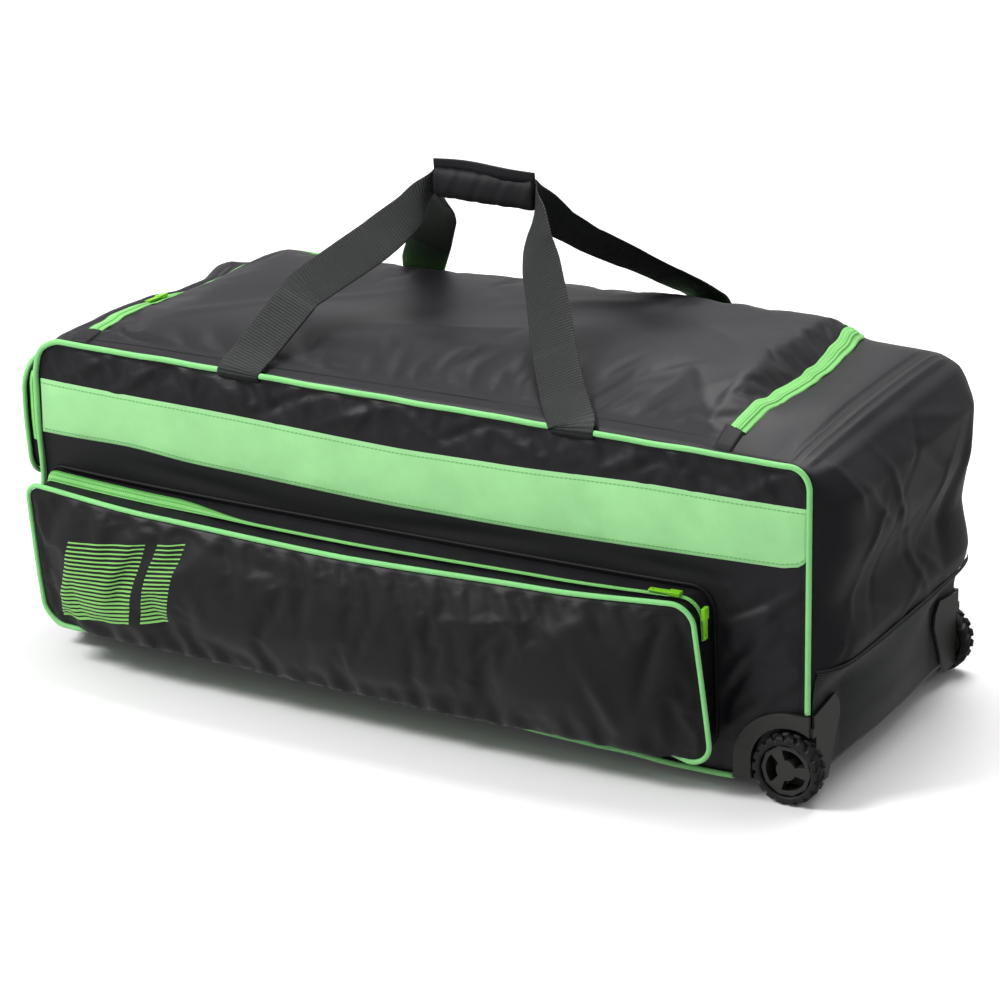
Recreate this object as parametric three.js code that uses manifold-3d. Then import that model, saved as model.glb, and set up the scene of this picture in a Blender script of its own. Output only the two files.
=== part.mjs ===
// A wheeled cricket kit bag: a long fabric box with a zipped lid, a gusseted front pocket,
// an end pocket, webbing handles in one grip wrap, a skid panel and two wheels in corner housings.
// Millimetres, +X towards the wheels, -Y towards the front, +Z up.
// The bag stands on its two wheels and on the base edge at its other end.

import * as THREE from 'three';
import { mergeVertices } from 'three/addons/utils/BufferGeometryUtils.js';
import Module from 'manifold-3d';

const wasm = await Module();
wasm.setup();

// The main box
const bodyLength = 900;
const bodyDepth = 371;
const bodyHeight = 352;
const fabricWall = 2.5;
const topCornerRadius = 24;
const baseCornerRadius = 14;
const seamInset = 3.5;
const seamStep = 4.5;
const crownHeight = 46;
const leftSlump = 32;
const rightEndSwell = 36;
const baseLift = 21;
const leftEndSwell = 13;
const frontBulge = 14;
const backBulge = 10;
const gatherDepth = 3;
const gatherCount = 7;
const topSeamReach = 70;
const endSeamReach = 90;
const baseSeamReach = 60;
const backSeamHold = 0.55;

// Clearances between pieces that are sewn or laid on each other
const seamGap = 0.5;
const runningGap = 0.35;
const trimGap = 0.8;

// The lid and its zip
const lidLeftMargin = 44;
const lidRightMargin = 100;
const lidFrontMargin = 14;
const lidBackMargin = 14;
const lidCornerRadius = 30;
const lidEndBow = 12;
const zipStartMargin = 18;
const lidZipWidth = 18;
const zipThickness = 1.4;
const sliderLength = 13;
const sliderWidth = 10;
const sliderThickness = 4;
const pullLength = 22;
const pullWidth = 8.5;
const pullThickness = 1.8;
const pullNeck = 2;
const lidSliderShare = 0.1;

// Corded seams
const pipingRadius = 3;
const cordSides = 5;

// The band across the front
const bandTop = 309;
const bandBottom = 251;
const bandEndMargin = 5;
const bandThickness = 1.2;

// The front pocket
const pocketLeft = 8;
const pocketRight = 106;
const pocketTop = 205;
const pocketBottom = 30;
const pocketDepth = 48;
const pocketSwell = 20;
const pocketCorner = 26;
const pocketSlant = 14;
const gussetWaist = 1.5;
const pocketZipWidth = 9;

// The end pocket
const endPocketDepth = 24;
const endPocketGap = 2;
const endPocketTop = 336;
const endPocketBottom = 184;
const endPocketSideMargin = 14;
const endPocketCorner = 30;
const endPocketSwell = 6;
const endZipWidth = 9;

// The webbing handles
const webbingWidth = 50;
const webbingThickness = 2.2;
const anchorSpacing = 397;
const anchorShift = -1;
const gripLength = 114;
const gripShift = -7;
const gripCentreHeight = 527;
const gripWebbingWidth = 27;
const gripWebbingThickness = 4.4;
const gripWall = 2.4;
const gripBow = 3.5;
const gripFlapHeight = 10;
const gripFlapLean = 3;
const gripFlapPeak = 2;

// The skid panel on the wheel end
const skidHeight = 126;
const skidThickness = 2.4;
const skidSideMargin = 6;

// Wheels and housings
const wheelRadius = 38.1;
const wheelWidth = 22;
const wheelInset = 18.3;
const wheelCentreHeight = 26.2;
const wheelProud = 18;
const lugCount = 18;
const lugDepth = 3.6;
const lugTopShare = 0.24;
const lugFootShare = 0.34;
const hubRadius = 28;
const hubWidth = 17;
const hubFaceWall = 4;
const hubRimShare = 0.8;
const hubBossShare = 0.4;
const spokeHalfAngle = 0.3;
const spokeSpread = 0.1;
const axleRadius = 4;
const axleRecess = 7;
const wellClearance = 5;
const wellFoot = 8;
const housingWall = 3;
const flangeThickness = 5;
const flangeLegWidth = 20;
const housingTop = 85;
const housingFoot = 4;
const endTabReach = 64;
const endTabTop = 92;

const halfLength = bodyLength / 2;
const halfDepth = bodyDepth / 2;

// The share of half the depth at which the end tabs of the housings begin
const tabShare = 1 - endTabReach / halfDepth;
const flatShare = tabShare - 0.03;

// How the top rises along the bag: along is a share of half the length, rise a share of crownHeight.
const crownRows = [
  { at: -1, rise: 0 },
  { at: -0.9, rise: 0.2 },
  { at: -0.72, rise: 0.42 },
  { at: -0.44, rise: 0.5 },
  { at: -0.1, rise: 0.7 },
  { at: 0.28, rise: 0.93 },
  { at: 0.5, rise: 1 },
  { at: 0.72, rise: 1 },
  { at: 0.8, rise: 0.55 },
  { at: 0.9, rise: 0.4 },
  { at: 0.97, rise: 0.2 },
  { at: 1, rise: 0 },
];

// How far the base's long edges turn up: at is a share of half the length, lift a share of baseLift.
const baseRows = [
  { at: -1, lift: 1 },
  { at: -0.5, lift: 0.85 },
  { at: 0, lift: 0.6 },
  { at: 0.5, lift: 0.2 },
  { at: 0.68, lift: 0 },
  { at: 1, lift: 0 },
];

// How far the left end's top sinks: at is a share of half the depth, drop a share of leftSlump.
const slumpRows = [
  { at: -1, drop: 0 },
  { at: -0.5, drop: 0.12 },
  { at: 0, drop: 0.45 },
  { at: 0.4, drop: 0.85 },
  { at: 0.75, drop: 1 },
  { at: 1, drop: 0.7 },
];

// How far the ends swell: at is a share of the height, out a share of the end's swell.
const endRows = [
  { at: 0, out: 0.05 },
  { at: 0.15, out: 0.35 },
  { at: 0.35, out: 0.75 },
  { at: 0.43, out: 0.85 },
  { at: 0.56, out: 0.5 },
  { at: 0.74, out: 0.9 },
  { at: 0.88, out: 0.95 },
  { at: 0.97, out: 0.45 },
  { at: 1, out: 0 },
];

// Soft folds of the lid. x and y are shares of half the length and depth, angle is in degrees from +X,
// length and width are shares of the body's depth, rise is a share of crownHeight.
const lidFolds = [
  { x: -0.55, y: -0.1, angle: 35, length: 0.5, width: 0.13, rise: -0.13 },
  { x: -0.25, y: -0.45, angle: -20, length: 0.55, width: 0.12, rise: 0.12 },
  { x: 0.1, y: 0.1, angle: 12, length: 0.8, width: 0.14, rise: -0.1 },
  { x: 0.38, y: -0.3, angle: -38, length: 0.5, width: 0.12, rise: 0.1 },
  { x: 0.55, y: 0.35, angle: 25, length: 0.45, width: 0.12, rise: -0.1 },
];

// The front pocket along its length: at runs from its left edge (0) to its right (1).
// topDrop and footLift are shares of the pocket's height, depth and swell of pocketDepth and pocketSwell.
const pocketRows = [
  { at: 0, topDrop: 0.02, footLift: 0.1, depth: 1.02 },
  { at: 0.2, topDrop: 0.05, footLift: 0.09, depth: 1.12 },
  { at: 0.5, topDrop: 0.07, footLift: 0.06, depth: 1.2 },
  { at: 0.8, topDrop: 0.05, footLift: 0.03, depth: 1.08 },
  { at: 1, topDrop: 0.02, footLift: 0, depth: 0.9 },
];

// A handle leg from its anchor (0) to the grip (1). turn is the share of the webbing's quarter turn,
// narrow the share of its folding together, from webbingWidth to gripWebbingWidth.
const legRows = [
  { at: 0, turn: 0, narrow: 0 },
  { at: 0.4, turn: 0.1, narrow: 0 },
  { at: 0.7, turn: 0.25, narrow: 0.08 },
  { at: 0.9, turn: 0.6, narrow: 0.5 },
  { at: 1, turn: 1, narrow: 1 },
];

// The four legs: side is -1 front or 1 back, end is -1 left or 1 right. start is how steeply the leg
// leaves its seam, entry how far it runs on along the grip's line, hang how far it drops there;
// all are shares of webbingWidth.
const legs = [
  { side: -1, end: -1, start: 0.2, entry: 0.3, hang: 0.55 },
  { side: -1, end: 1, start: 0.2, entry: -0.35, hang: 1.7 },
  { side: 1, end: -1, start: 0.6, entry: 0.15, hang: 0.6 },
  { side: 1, end: 1, start: 0.6, entry: 0.4, hang: 1.15 },
];

// Colours, roughness and metalness of each material
const finish = {
  fabric: { color: 0x2b2a2d, roughness: 0.8, metalness: 0 },
  limeFabric: { color: 0x98ea8c, roughness: 0.75, metalness: 0 },
  limeCord: { color: 0x8be878, roughness: 0.6, metalness: 0 },
  limeZip: { color: 0x8bee5a, roughness: 0.7, metalness: 0 },
  pull: { color: 0x9bf02d, roughness: 0.4, metalness: 0 },
  webbing: { color: 0x2c2f2f, roughness: 0.85, metalness: 0 },
  skid: { color: 0x33363a, roughness: 0.7, metalness: 0 },
  plastic: { color: 0x3b3b39, roughness: 0.5, metalness: 0 },
  tyre: { color: 0x1b1b1b, roughness: 0.8, metalness: 0 },
};

function lerp(a, b, t) {
  return a + (b - a) * t;
}

// 0 below zero, 1 above one, and a soft step between.
function soft(t) {
  const s = Math.min(1, Math.max(0, t));
  return s * s * (3 - 2 * s);
}

// A column of a table at a place, with soft steps from row to row.
function along(rows, at, column) {
  if (at <= rows[0].at) return rows[0][column];
  for (let i = 1; i < rows.length; i += 1) {
    const a = rows[i - 1];
    const b = rows[i];
    if (at <= b.at) {
      const t = (at - a.at) / (b.at - a.at);
      return lerp(a[column], b[column], lerp(t, soft(t), 0.6));
    }
  }
  return rows[rows.length - 1][column];
}

// How full the top is across the depth: flatter towards the front, full towards the back.
function acrossTop(t) {
  const power = t < 0 ? 3 : 6;
  return 1 - Math.abs(t) ** power;
}

// The rise of one fold at a place: a soft ridge or dip that fades along its length.
function foldRise(fold, x, y) {
  const angle = THREE.MathUtils.degToRad(fold.angle);
  const dx = x - fold.x * halfLength;
  const dy = y - fold.y * halfDepth;
  const run = (dx * Math.cos(angle) + dy * Math.sin(angle)) / (fold.length * bodyDepth);
  const off = (dy * Math.cos(angle) - dx * Math.sin(angle)) / (fold.width * bodyDepth);
  return fold.rise * crownHeight * Math.exp(-off * off - 2 * run * run);
}

// How far the top stands above the plain box at a place, t being the share of half the depth.
function topRise(x, t) {
  const share = x / halfLength;
  const crown = crownHeight * along(crownRows, share, 'rise') * acrossTop(t);
  const slump = leftSlump * soft((-share - 0.74) / 0.2) * along(slumpRows, t, 'drop');
  let folds = 0;
  for (const fold of lidFolds) folds += foldRise(fold, x, t * halfDepth);
  return crown - slump + folds * acrossTop(t) * (1 - Math.abs(share) ** 6);
}

// How far an end stands out from the plain box. Low on the wheel end the corner tabs hold the fabric flat,
// and above them the front seam holds it more than the back seam.
function endOut(x, z, t) {
  const hold = t > 0 ? backSeamHold : 1;
  const free = 1 - hold * Math.abs(t) ** 9;
  const held = Math.max(0, 1 - (t / flatShare) ** 2);
  const across = x > 0 ? lerp(held, free, soft((2 * (z - endTabTop)) / endTabTop)) : 1 - 0.2 * t * t;
  const swell = x > 0 ? rightEndSwell : leftEndSwell;
  return swell * along(endRows, z / bodyHeight, 'out') * across;
}

// The front panel: a soft bulge, and gathers under its top seam.
function frontY(x, z) {
  const share = Math.min(1, Math.abs(x) / halfLength);
  const height = Math.min(1, Math.max(0, z / bodyHeight));
  const bulge = frontBulge * (1 - share ** 4) * Math.sin(Math.PI * height ** 1.6);
  const free = soft((z - bandTop) / 20) * soft((bodyHeight - z) / 14);
  const gather = gatherDepth * free * Math.cos(share * gatherCount * Math.PI) * (1 - share ** 6);
  return -halfDepth - bulge - gather;
}

// The back panel: one soft bulge.
function backY(x, z) {
  const share = Math.min(1, Math.abs(x) / halfLength);
  const height = Math.min(1, Math.max(0, z / bodyHeight));
  return halfDepth + backBulge * (1 - share ** 4) * Math.sin(Math.PI * height);
}

// Points round a rounded rectangle, anticlockwise from the lower left, with outward directions.
// corners gives the four radii. parts gives the number of steps of each side, or the heights
// of the points on an upright side.
function roundedOutline(width, height, corners, parts, cornerParts) {
  const w = width / 2;
  const [lowerLeft, lowerRight, upperRight, upperLeft] = corners;
  const points = [];
  function side(from, to, steps, normal) {
    if (Array.isArray(steps)) {
      for (const v of steps) points.push({ u: from[0], v, normal });
      return;
    }
    for (let i = 0; i < steps; i += 1) {
      points.push({ u: lerp(from[0], to[0], i / steps), v: lerp(from[1], to[1], i / steps), normal });
    }
  }
  function corner(centreU, centreV, radius, start) {
    for (let i = 0; i < cornerParts; i += 1) {
      const angle = start + (i / cornerParts) * (Math.PI / 2);
      const normal = [Math.cos(angle), Math.sin(angle)];
      points.push({ u: centreU + radius * normal[0], v: centreV + radius * normal[1], normal });
    }
  }
  side([-w + lowerLeft, 0], [w - lowerRight, 0], parts[0], [0, -1]);
  corner(w - lowerRight, lowerRight, lowerRight, -Math.PI / 2);
  side([w, lowerRight], [w, height - upperRight], parts[1], [1, 0]);
  corner(w - upperRight, height - upperRight, upperRight, 0);
  side([w - upperRight, height], [-w + upperLeft, height], parts[2], [0, 1]);
  corner(-w + upperLeft, height - upperLeft, upperLeft, Math.PI / 2);
  side([-w, height - upperLeft], [-w, lowerLeft], parts[3], [-1, 0]);
  corner(-w + lowerLeft, lowerLeft, lowerLeft, Math.PI);
  return points;
}

// The signed volume of an indexed geometry.
function signedVolume(positions, index) {
  let sum = 0;
  const a = new THREE.Vector3();
  const b = new THREE.Vector3();
  const c = new THREE.Vector3();
  for (let i = 0; i < index.length; i += 3) {
    a.fromArray(positions, 3 * index[i]);
    b.fromArray(positions, 3 * index[i + 1]);
    c.fromArray(positions, 3 * index[i + 2]);
    sum += a.dot(b.cross(c));
  }
  return sum;
}

// A closed skin over rings of equal count. firstPole and lastPole close the ends with a fan,
// and loop joins the last ring to the first instead.
function skin(rings, { firstPole = null, lastPole = null, loop = false } = {}) {
  const count = rings[0].length;
  const positions = [];
  const index = [];
  for (const ring of rings) {
    for (const p of ring) positions.push(p.x, p.y, p.z);
  }
  const bands = loop ? rings.length : rings.length - 1;
  for (let r = 0; r < bands; r += 1) {
    const low = r * count;
    const high = ((r + 1) % rings.length) * count;
    for (let i = 0; i < count; i += 1) {
      const j = (i + 1) % count;
      index.push(low + i, low + j, high + j, low + i, high + j, high + i);
    }
  }
  function fan(pole, ringStart, flip) {
    const centre = positions.length / 3;
    positions.push(pole.x, pole.y, pole.z);
    for (let i = 0; i < count; i += 1) {
      const j = (i + 1) % count;
      if (flip) index.push(centre, ringStart + j, ringStart + i);
      else index.push(centre, ringStart + i, ringStart + j);
    }
  }
  if (firstPole) fan(firstPole, 0, true);
  if (lastPole) fan(lastPole, (rings.length - 1) * count, false);
  if (signedVolume(positions, index) < 0) index.reverse();
  const geometry = new THREE.BufferGeometry();
  geometry.setAttribute('position', new THREE.Float32BufferAttribute(positions, 3));
  geometry.setIndex(index);
  return geometry;
}

function toSolid(geometry) {
  const bare = geometry.clone();
  bare.deleteAttribute('normal');
  bare.deleteAttribute('uv');
  const merged = mergeVertices(bare, 1e-3);
  const vertProperties = new Float32Array(merged.attributes.position.array);
  const triVerts = new Uint32Array(merged.index.array);
  return new wasm.Manifold(new wasm.Mesh({ numProp: 3, vertProperties, triVerts }));
}

function toGeometry(solid) {
  const mesh = solid.getMesh();
  const geometry = new THREE.BufferGeometry();
  geometry.setAttribute('position', new THREE.BufferAttribute(new Float32Array(mesh.vertProperties), 3));
  geometry.setIndex(new THREE.BufferAttribute(new Uint32Array(mesh.triVerts), 1));
  return geometry;
}

// A shape drawn in X and Z, pushed along Y from one depth to another.
function prismAlongY(shape, fromY, toY, curveSegments = 8) {
  const options = { depth: toY - fromY, bevelEnabled: false, curveSegments };
  const geometry = new THREE.ExtrudeGeometry(shape, options);
  geometry.rotateX(Math.PI / 2);
  geometry.translate(0, toY, 0);
  return geometry;
}

// A rounded rectangle on X and Y whose right side bows out, pushed up along Z.
function prismAlongZ(x0, x1, y0, y1, radius, bow, fromZ, toZ) {
  const shape = new THREE.Shape();
  shape.moveTo(x0, y0);
  shape.lineTo(x1, y0);
  shape.quadraticCurveTo(x1 + 2 * bow, (y0 + y1 - radius) / 2, x1, y1 - radius);
  shape.absarc(x1 - radius, y1 - radius, radius, 0, Math.PI / 2);
  shape.lineTo(x0 + radius, y1);
  shape.absarc(x0 + radius, y1 - radius, radius, Math.PI / 2, Math.PI);
  shape.lineTo(x0, y0);
  const options = { depth: toZ - fromZ, bevelEnabled: false, curveSegments: 5 };
  const geometry = new THREE.ExtrudeGeometry(shape, options);
  geometry.translate(0, 0, fromZ);
  return geometry;
}

// A thin closed sheet from a grid function: at(i, j, side) gives the point of row i, column j,
// with side 0 for the face that lies on what carries it and 1 for the outer face.
function sheet(rows, columns, at) {
  const rings = [];
  for (let i = 0; i <= rows; i += 1) {
    const ring = [];
    for (let j = 0; j <= columns; j += 1) ring.push(at(i / rows, j / columns, 1));
    for (let j = columns; j >= 0; j -= 1) ring.push(at(i / rows, j / columns, 0));
    rings.push(ring);
  }
  return stitched(rings, columns + 1);
}

// Rings made of an upper and a lower run of equal count: their ends are closed by quads, not by a fan.
function stitched(rings, run) {
  const count = rings[0].length;
  const positions = [];
  const index = [];
  for (const ring of rings) {
    for (const p of ring) positions.push(p.x, p.y, p.z);
  }
  for (let r = 0; r + 1 < rings.length; r += 1) {
    for (let i = 0; i < count; i += 1) {
      const j = (i + 1) % count;
      const low = r * count;
      const high = low + count;
      index.push(low + i, low + j, high + j, low + i, high + j, high + i);
    }
  }
  const last = (rings.length - 1) * count;
  for (let i = 0; i + 1 < run; i += 1) {
    const a = i;
    const b = i + 1;
    const c = count - 2 - i;
    const d = count - 1 - i;
    index.push(a, c, b, a, d, c);
    index.push(last + a, last + b, last + c, last + a, last + c, last + d);
  }
  if (signedVolume(positions, index) < 0) index.reverse();
  const geometry = new THREE.BufferGeometry();
  geometry.setAttribute('position', new THREE.Float32BufferAttribute(positions, 3));
  geometry.setIndex(index);
  return geometry;
}

// The outline of the main box, shared by the shell and its piping.
const bodyCorners = [baseCornerRadius, baseCornerRadius, topCornerRadius, topCornerRadius];
const upperEnd = bodyHeight - topCornerRadius;
const endHeights = [baseCornerRadius, lerp(baseCornerRadius, endTabTop, 0.5), endTabTop, skidHeight];
for (const share of [0.25, 0.5, 0.75]) endHeights.push(lerp(skidHeight, upperEnd, share));
const leftHeights = [upperEnd, ...endHeights.slice(1).reverse()];
const bodyOutline = roundedOutline(bodyLength, bodyHeight, bodyCorners, [8, endHeights, 18, leftHeights], 3);

// A point of the box's side at outline point p and depth share t, moved in by inset.
function sidePoint(p, t, inset, depth) {
  const x = p.u - inset * p.normal[0];
  const z = p.v - inset * p.normal[1];
  const topWeight = soft(1 - (bodyHeight - p.v) / topSeamReach);
  const endWeight = soft(1 - (halfLength - Math.abs(p.u)) / endSeamReach);
  const baseWeight = soft(1 - p.v / baseSeamReach) * soft((Math.abs(t) - 0.72) / 0.28);
  const turnUp = baseLift * along(baseRows, p.u / halfLength, 'lift') * baseWeight;
  const rise = topWeight * topRise(p.u, t) + turnUp;
  const out = Math.sign(p.u) * endWeight * endOut(p.u, p.v, t);
  return new THREE.Vector3(x + out, t * depth, z + rise);
}

// Rings of a panel that close towards its middle, on a depth function of x and z.
function panelRings(edge, shares, yAt) {
  const centre = new THREE.Vector3(0, 0, bodyHeight / 2);
  return shares.map((k) =>
    edge.map((p) => {
      const x = lerp(centre.x, p.x, k);
      const z = lerp(centre.z, p.z, k);
      return new THREE.Vector3(x, yAt(x, z), z);
    }),
  );
}

// The filled form of the box: the outer form with inset 0, or the hollow inside with the wall as inset.
function bodyForm(inset, rows, panelShares) {
  const depth = halfDepth - inset;
  const seam = inset === 0 ? seamInset : inset;
  const frontEdge = bodyOutline.map((p) => sidePoint(p, -1, seam, depth));
  const backEdge = bodyOutline.map((p) => sidePoint(p, 1, seam, depth));
  const front = panelRings(frontEdge, panelShares, (x, z) => frontY(x, z) + inset);
  const back = panelRings(backEdge, panelShares, (x, z) => backY(x, z) - inset);
  const rings = [...front, frontEdge];
  for (const t of rows) rings.push(bodyOutline.map((p) => sidePoint(p, t, inset, depth)));
  rings.push(backEdge, ...back.reverse());
  const firstPole = new THREE.Vector3(0, frontY(0, bodyHeight / 2) + inset, bodyHeight / 2);
  const lastPole = new THREE.Vector3(0, backY(0, bodyHeight / 2) - inset, bodyHeight / 2);
  return skin(rings, { firstPole, lastPole });
}

const lidX0 = -halfLength + lidLeftMargin;
const lidX1 = halfLength - lidRightMargin;
const lidY0 = -halfDepth + lidFrontMargin;
const lidY1 = halfDepth - lidBackMargin;

// The prism over the middle line of the zip, grown by a margin on every side.
function lidPrism(grow) {
  const low = bodyHeight - leftSlump - crownHeight;
  const high = bodyHeight + 2 * crownHeight;
  const radius = lidCornerRadius + grow;
  const prism = prismAlongZ(lidX0 - grow, lidX1 + grow, lidY0, lidY1 + grow, radius, lidEndBow, low, high);
  return toSolid(prism);
}

// All that lies in front of the zip's two ends, or behind them.
function besideZipEnds(front, gap) {
  const line = lidY0 + zipStartMargin;
  const from = front ? -bodyDepth : line + gap;
  const to = front ? line - gap : bodyDepth;
  const slab = new THREE.BoxGeometry(2 * bodyLength, to - from, 4 * bodyHeight);
  slab.translate(0, (from + to) / 2, 0);
  return toSolid(slab);
}

const seamRow = 1 - seamStep / halfDepth;
const outerRows = [-seamRow, -0.85, -flatShare, -0.32, 0, 0.32, flatShare, 0.8, 0.92, seamRow];
const outerForm = toSolid(bodyForm(0, outerRows, [0.45, 0.76, 0.87, 0.95]));
const innerForm = toSolid(bodyForm(fabricWall, outerRows.slice(1, -1), [0.6]));
const fabricShell = outerForm.subtract(innerForm);

// Where a wheel's middle is, for side -1 (front) or 1 (back).
const wheelX = halfLength - wheelInset;
const wheelOuterY = halfDepth + wheelProud;
const wellRadius = wheelRadius + wellClearance;
const wellY = wheelOuterY - wheelWidth - runningGap;
const drumY = wellY - housingWall;
const flangeLeft = wheelX - wellRadius - flangeLegWidth;

// The arch of a housing seen from the front, grown outwards by a margin.
function archShape(grow) {
  const radius = wellRadius + housingWall + grow;
  const shape = new THREE.Shape();
  const foot = -grow;
  const drop = foot - wheelCentreHeight;
  const start = Math.asin(drop / radius);
  shape.moveTo(wheelX + radius * 1.6, foot);
  shape.lineTo(wheelX + radius * 1.6, wheelCentreHeight + radius);
  shape.lineTo(wheelX, wheelCentreHeight + radius);
  shape.absarc(wheelX, wheelCentreHeight, radius, Math.PI / 2, Math.PI - start, false);
  shape.lineTo(wheelX + radius * 1.6, foot);
  return shape;
}

// The two corners that the wheel housings take.
function wheelCorners() {
  const front = toSolid(prismAlongY(archShape(seamGap), -halfDepth - bodyDepth, -drumY + seamGap));
  const back = toSolid(prismAlongY(archShape(seamGap), drumY - seamGap, halfDepth + bodyDepth));
  return front.add(back);
}

// The box less the wheel corners, less the lid.
function bodyShell() {
  return toGeometry(fabricShell.subtract(lidPrism(lidZipWidth / 2)).subtract(wheelCorners()));
}

// All that lies behind the lid's front edge by a gap.
function behindLidFront(gap) {
  const slab = new THREE.BoxGeometry(2 * bodyLength, 2 * bodyDepth, 4 * bodyHeight);
  slab.translate(0, lidY0 + gap + bodyDepth, 0);
  return toSolid(slab);
}

// The lid: all inside the zip, and as wide as the zip's outside in front of its ends.
function lidPanel() {
  const insideZip = lidPrism(-lidZipWidth / 2 - seamGap);
  const frontStrip = lidPrism(lidZipWidth / 2 - seamGap).intersect(besideZipEnds(true, 0));
  const outline = insideZip.add(frontStrip).intersect(behindLidFront(seamGap));
  return toGeometry(fabricShell.intersect(outline));
}

// The height of the box's top at a place.
function topZ(x, y) {
  return bodyHeight + topRise(x, y / halfDepth);
}

// The zip: left leg, back run and right leg of a rounded U between lid and box.
function lidZip() {
  const ring = lidPrism(lidZipWidth / 2 - seamGap).subtract(lidPrism(-lidZipWidth / 2));
  return toGeometry(fabricShell.intersect(ring).intersect(besideZipEnds(false, seamGap)));
}

// A round cord along a closed line of points with outward directions.
function cordLoop(points) {
  const rings = points.map((p, i) => {
    const next = points[(i + 1) % points.length].centre;
    const before = points[(i + points.length - 1) % points.length].centre;
    const tangent = next.clone().sub(before).normalize();
    const across = p.out.clone().cross(tangent).normalize();
    const out = tangent.clone().cross(across).normalize();
    const ring = [];
    for (let k = 0; k < cordSides; k += 1) {
      const angle = (2 * Math.PI * k) / cordSides;
      const q = p.centre.clone();
      q.addScaledVector(out, pipingRadius * Math.cos(angle));
      q.addScaledVector(across, pipingRadius * Math.sin(angle));
      ring.push(q);
    }
    return ring;
  });
  return skin(rings, { loop: true });
}

// The cord in the seam round the front or back panel. Along the base it lies in front of the panel,
// so that nothing hangs below the base.
function bodyPiping(side) {
  const reach = pipingRadius + seamGap;
  const full = THREE.MathUtils.degToRad(50);
  const loop = cordLoop(
    bodyOutline.map((p) => {
      const edge = sidePoint(p, side, seamInset, halfDepth);
      const turn = full * soft(p.v / (2 * baseCornerRadius));
      const out = new THREE.Vector3(p.normal[0], 0, p.normal[1]);
      const centre = edge.clone().addScaledVector(out, reach * Math.sin(turn));
      centre.y += side * reach * Math.cos(turn);
      return { centre, out };
    }),
  );
  const covered = new THREE.BoxGeometry(bodyLength, 2 * bodyDepth, 2 * (housingTop + seamGap));
  covered.translate(flangeLeft - seamGap + bodyLength / 2, 0, 0);
  return toGeometry(toSolid(loop).subtract(toSolid(covered)));
}

function frontBand() {
  const reach = halfLength - bandEndMargin;
  return sheet(22, 2, (i, j, side) => {
    const x = lerp(-reach, reach, i);
    const z = lerp(bandBottom, bandTop, j);
    return new THREE.Vector3(x, frontY(x, z) - trimGap - side * bandThickness, z);
  });
}

// A gusseted pocket: walls out from the carrying surface, then a panel that closes towards its middle.
// outline holds its base points, cordPoint(p, inset) gives the seam point at full depth and
// place(u, v, w) puts a point at distance w from the carrying surface.
function pocketShell({ outline, middleUV, cordPoint, place, wall, swell }) {
  function run(inset, shares) {
    const base = outline.map((p) => place(p.u - inset * p.normal[0], p.v - inset * p.normal[1], 0));
    const cord = outline.map((p) => cordPoint(p, inset));
    const waist = outline.map((p, i) => {
      const u = lerp(p.u - inset * p.normal[0], cord[i].u, 0.5) - gussetWaist * p.normal[0];
      const v = lerp(p.v - inset * p.normal[1], cord[i].v, 0.5) - gussetWaist * p.normal[1];
      return place(u, v, cord[i].w / 2);
    });
    const rim = cord.map((c) => place(c.u, c.v, c.w));
    const panels = shares.map((k) =>
      cord.map((c) => {
        const u = lerp(middleUV.u, c.u, k);
        const v = lerp(middleUV.v, c.v, k);
        return place(u, v, lerp(middleUV.w - inset, c.w, k) + swell * (1 - k ** 3));
      }),
    );
    const pole = place(middleUV.u, middleUV.v, middleUV.w - inset + swell);
    return { base, waist, rim, panels, pole };
  }
  const outer = run(0, [0.94, 0.8, 0.5, 0.2]);
  const inner = run(wall, [0.8, 0.4]);
  const rings = [...outer.panels].reverse();
  rings.push(outer.rim, outer.waist, outer.base, inner.base, inner.waist, inner.rim, ...inner.panels);
  return skin(rings, { firstPole: outer.pole, lastPole: inner.pole });
}

const pocketX0 = -halfLength + pocketLeft;
const pocketX1 = halfLength - pocketRight;
const pocketWidth = pocketX1 - pocketX0;
const pocketHeight = pocketTop - pocketBottom;
const pocketCorners = [pocketCorner, pocketCorner * 0.8, pocketCorner * 0.8, pocketCorner * 0.5];
const pocketOutline = roundedOutline(pocketWidth, pocketHeight, pocketCorners, [10, 2, 10, 2], 3).map(
  (p) => ({ u: p.u + (pocketX0 + pocketX1) / 2, v: p.v + pocketBottom, normal: p.normal }),
);

function pocketPlace(u, v, w) {
  return new THREE.Vector3(u, frontY(u, v) - seamGap - w, v);
}

// The pocket's front seam: lower than the base at the top, higher at the foot, with a hanging depth.
function pocketCord(p, inset) {
  const at = (p.u - pocketX0) / pocketWidth;
  const share = (p.v - pocketBottom) / pocketHeight;
  const drop = along(pocketRows, at, 'topDrop') * pocketHeight * soft(share * 2 - 1);
  const lift = along(pocketRows, at, 'footLift') * pocketHeight * soft(1 - share * 2);
  const slant = pocketSlant * (soft(1 - at * 8) * (1 - share) + soft(at * 12 - 11) * lerp(0.9, -0.25, share));
  const w = pocketDepth * along(pocketRows, at, 'depth') * lerp(0.9, 1, share);
  return {
    u: p.u - inset * p.normal[0] + slant,
    v: p.v - inset * p.normal[1] - drop + lift,
    w: w - inset,
  };
}

function frontPocket() {
  return pocketShell({
    outline: pocketOutline,
    middleUV: { u: (pocketX0 + pocketX1) / 2, v: pocketBottom + pocketHeight * 0.48, w: pocketDepth },
    cordPoint: pocketCord,
    place: pocketPlace,
    wall: fabricWall,
    swell: pocketSwell,
  });
}

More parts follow.
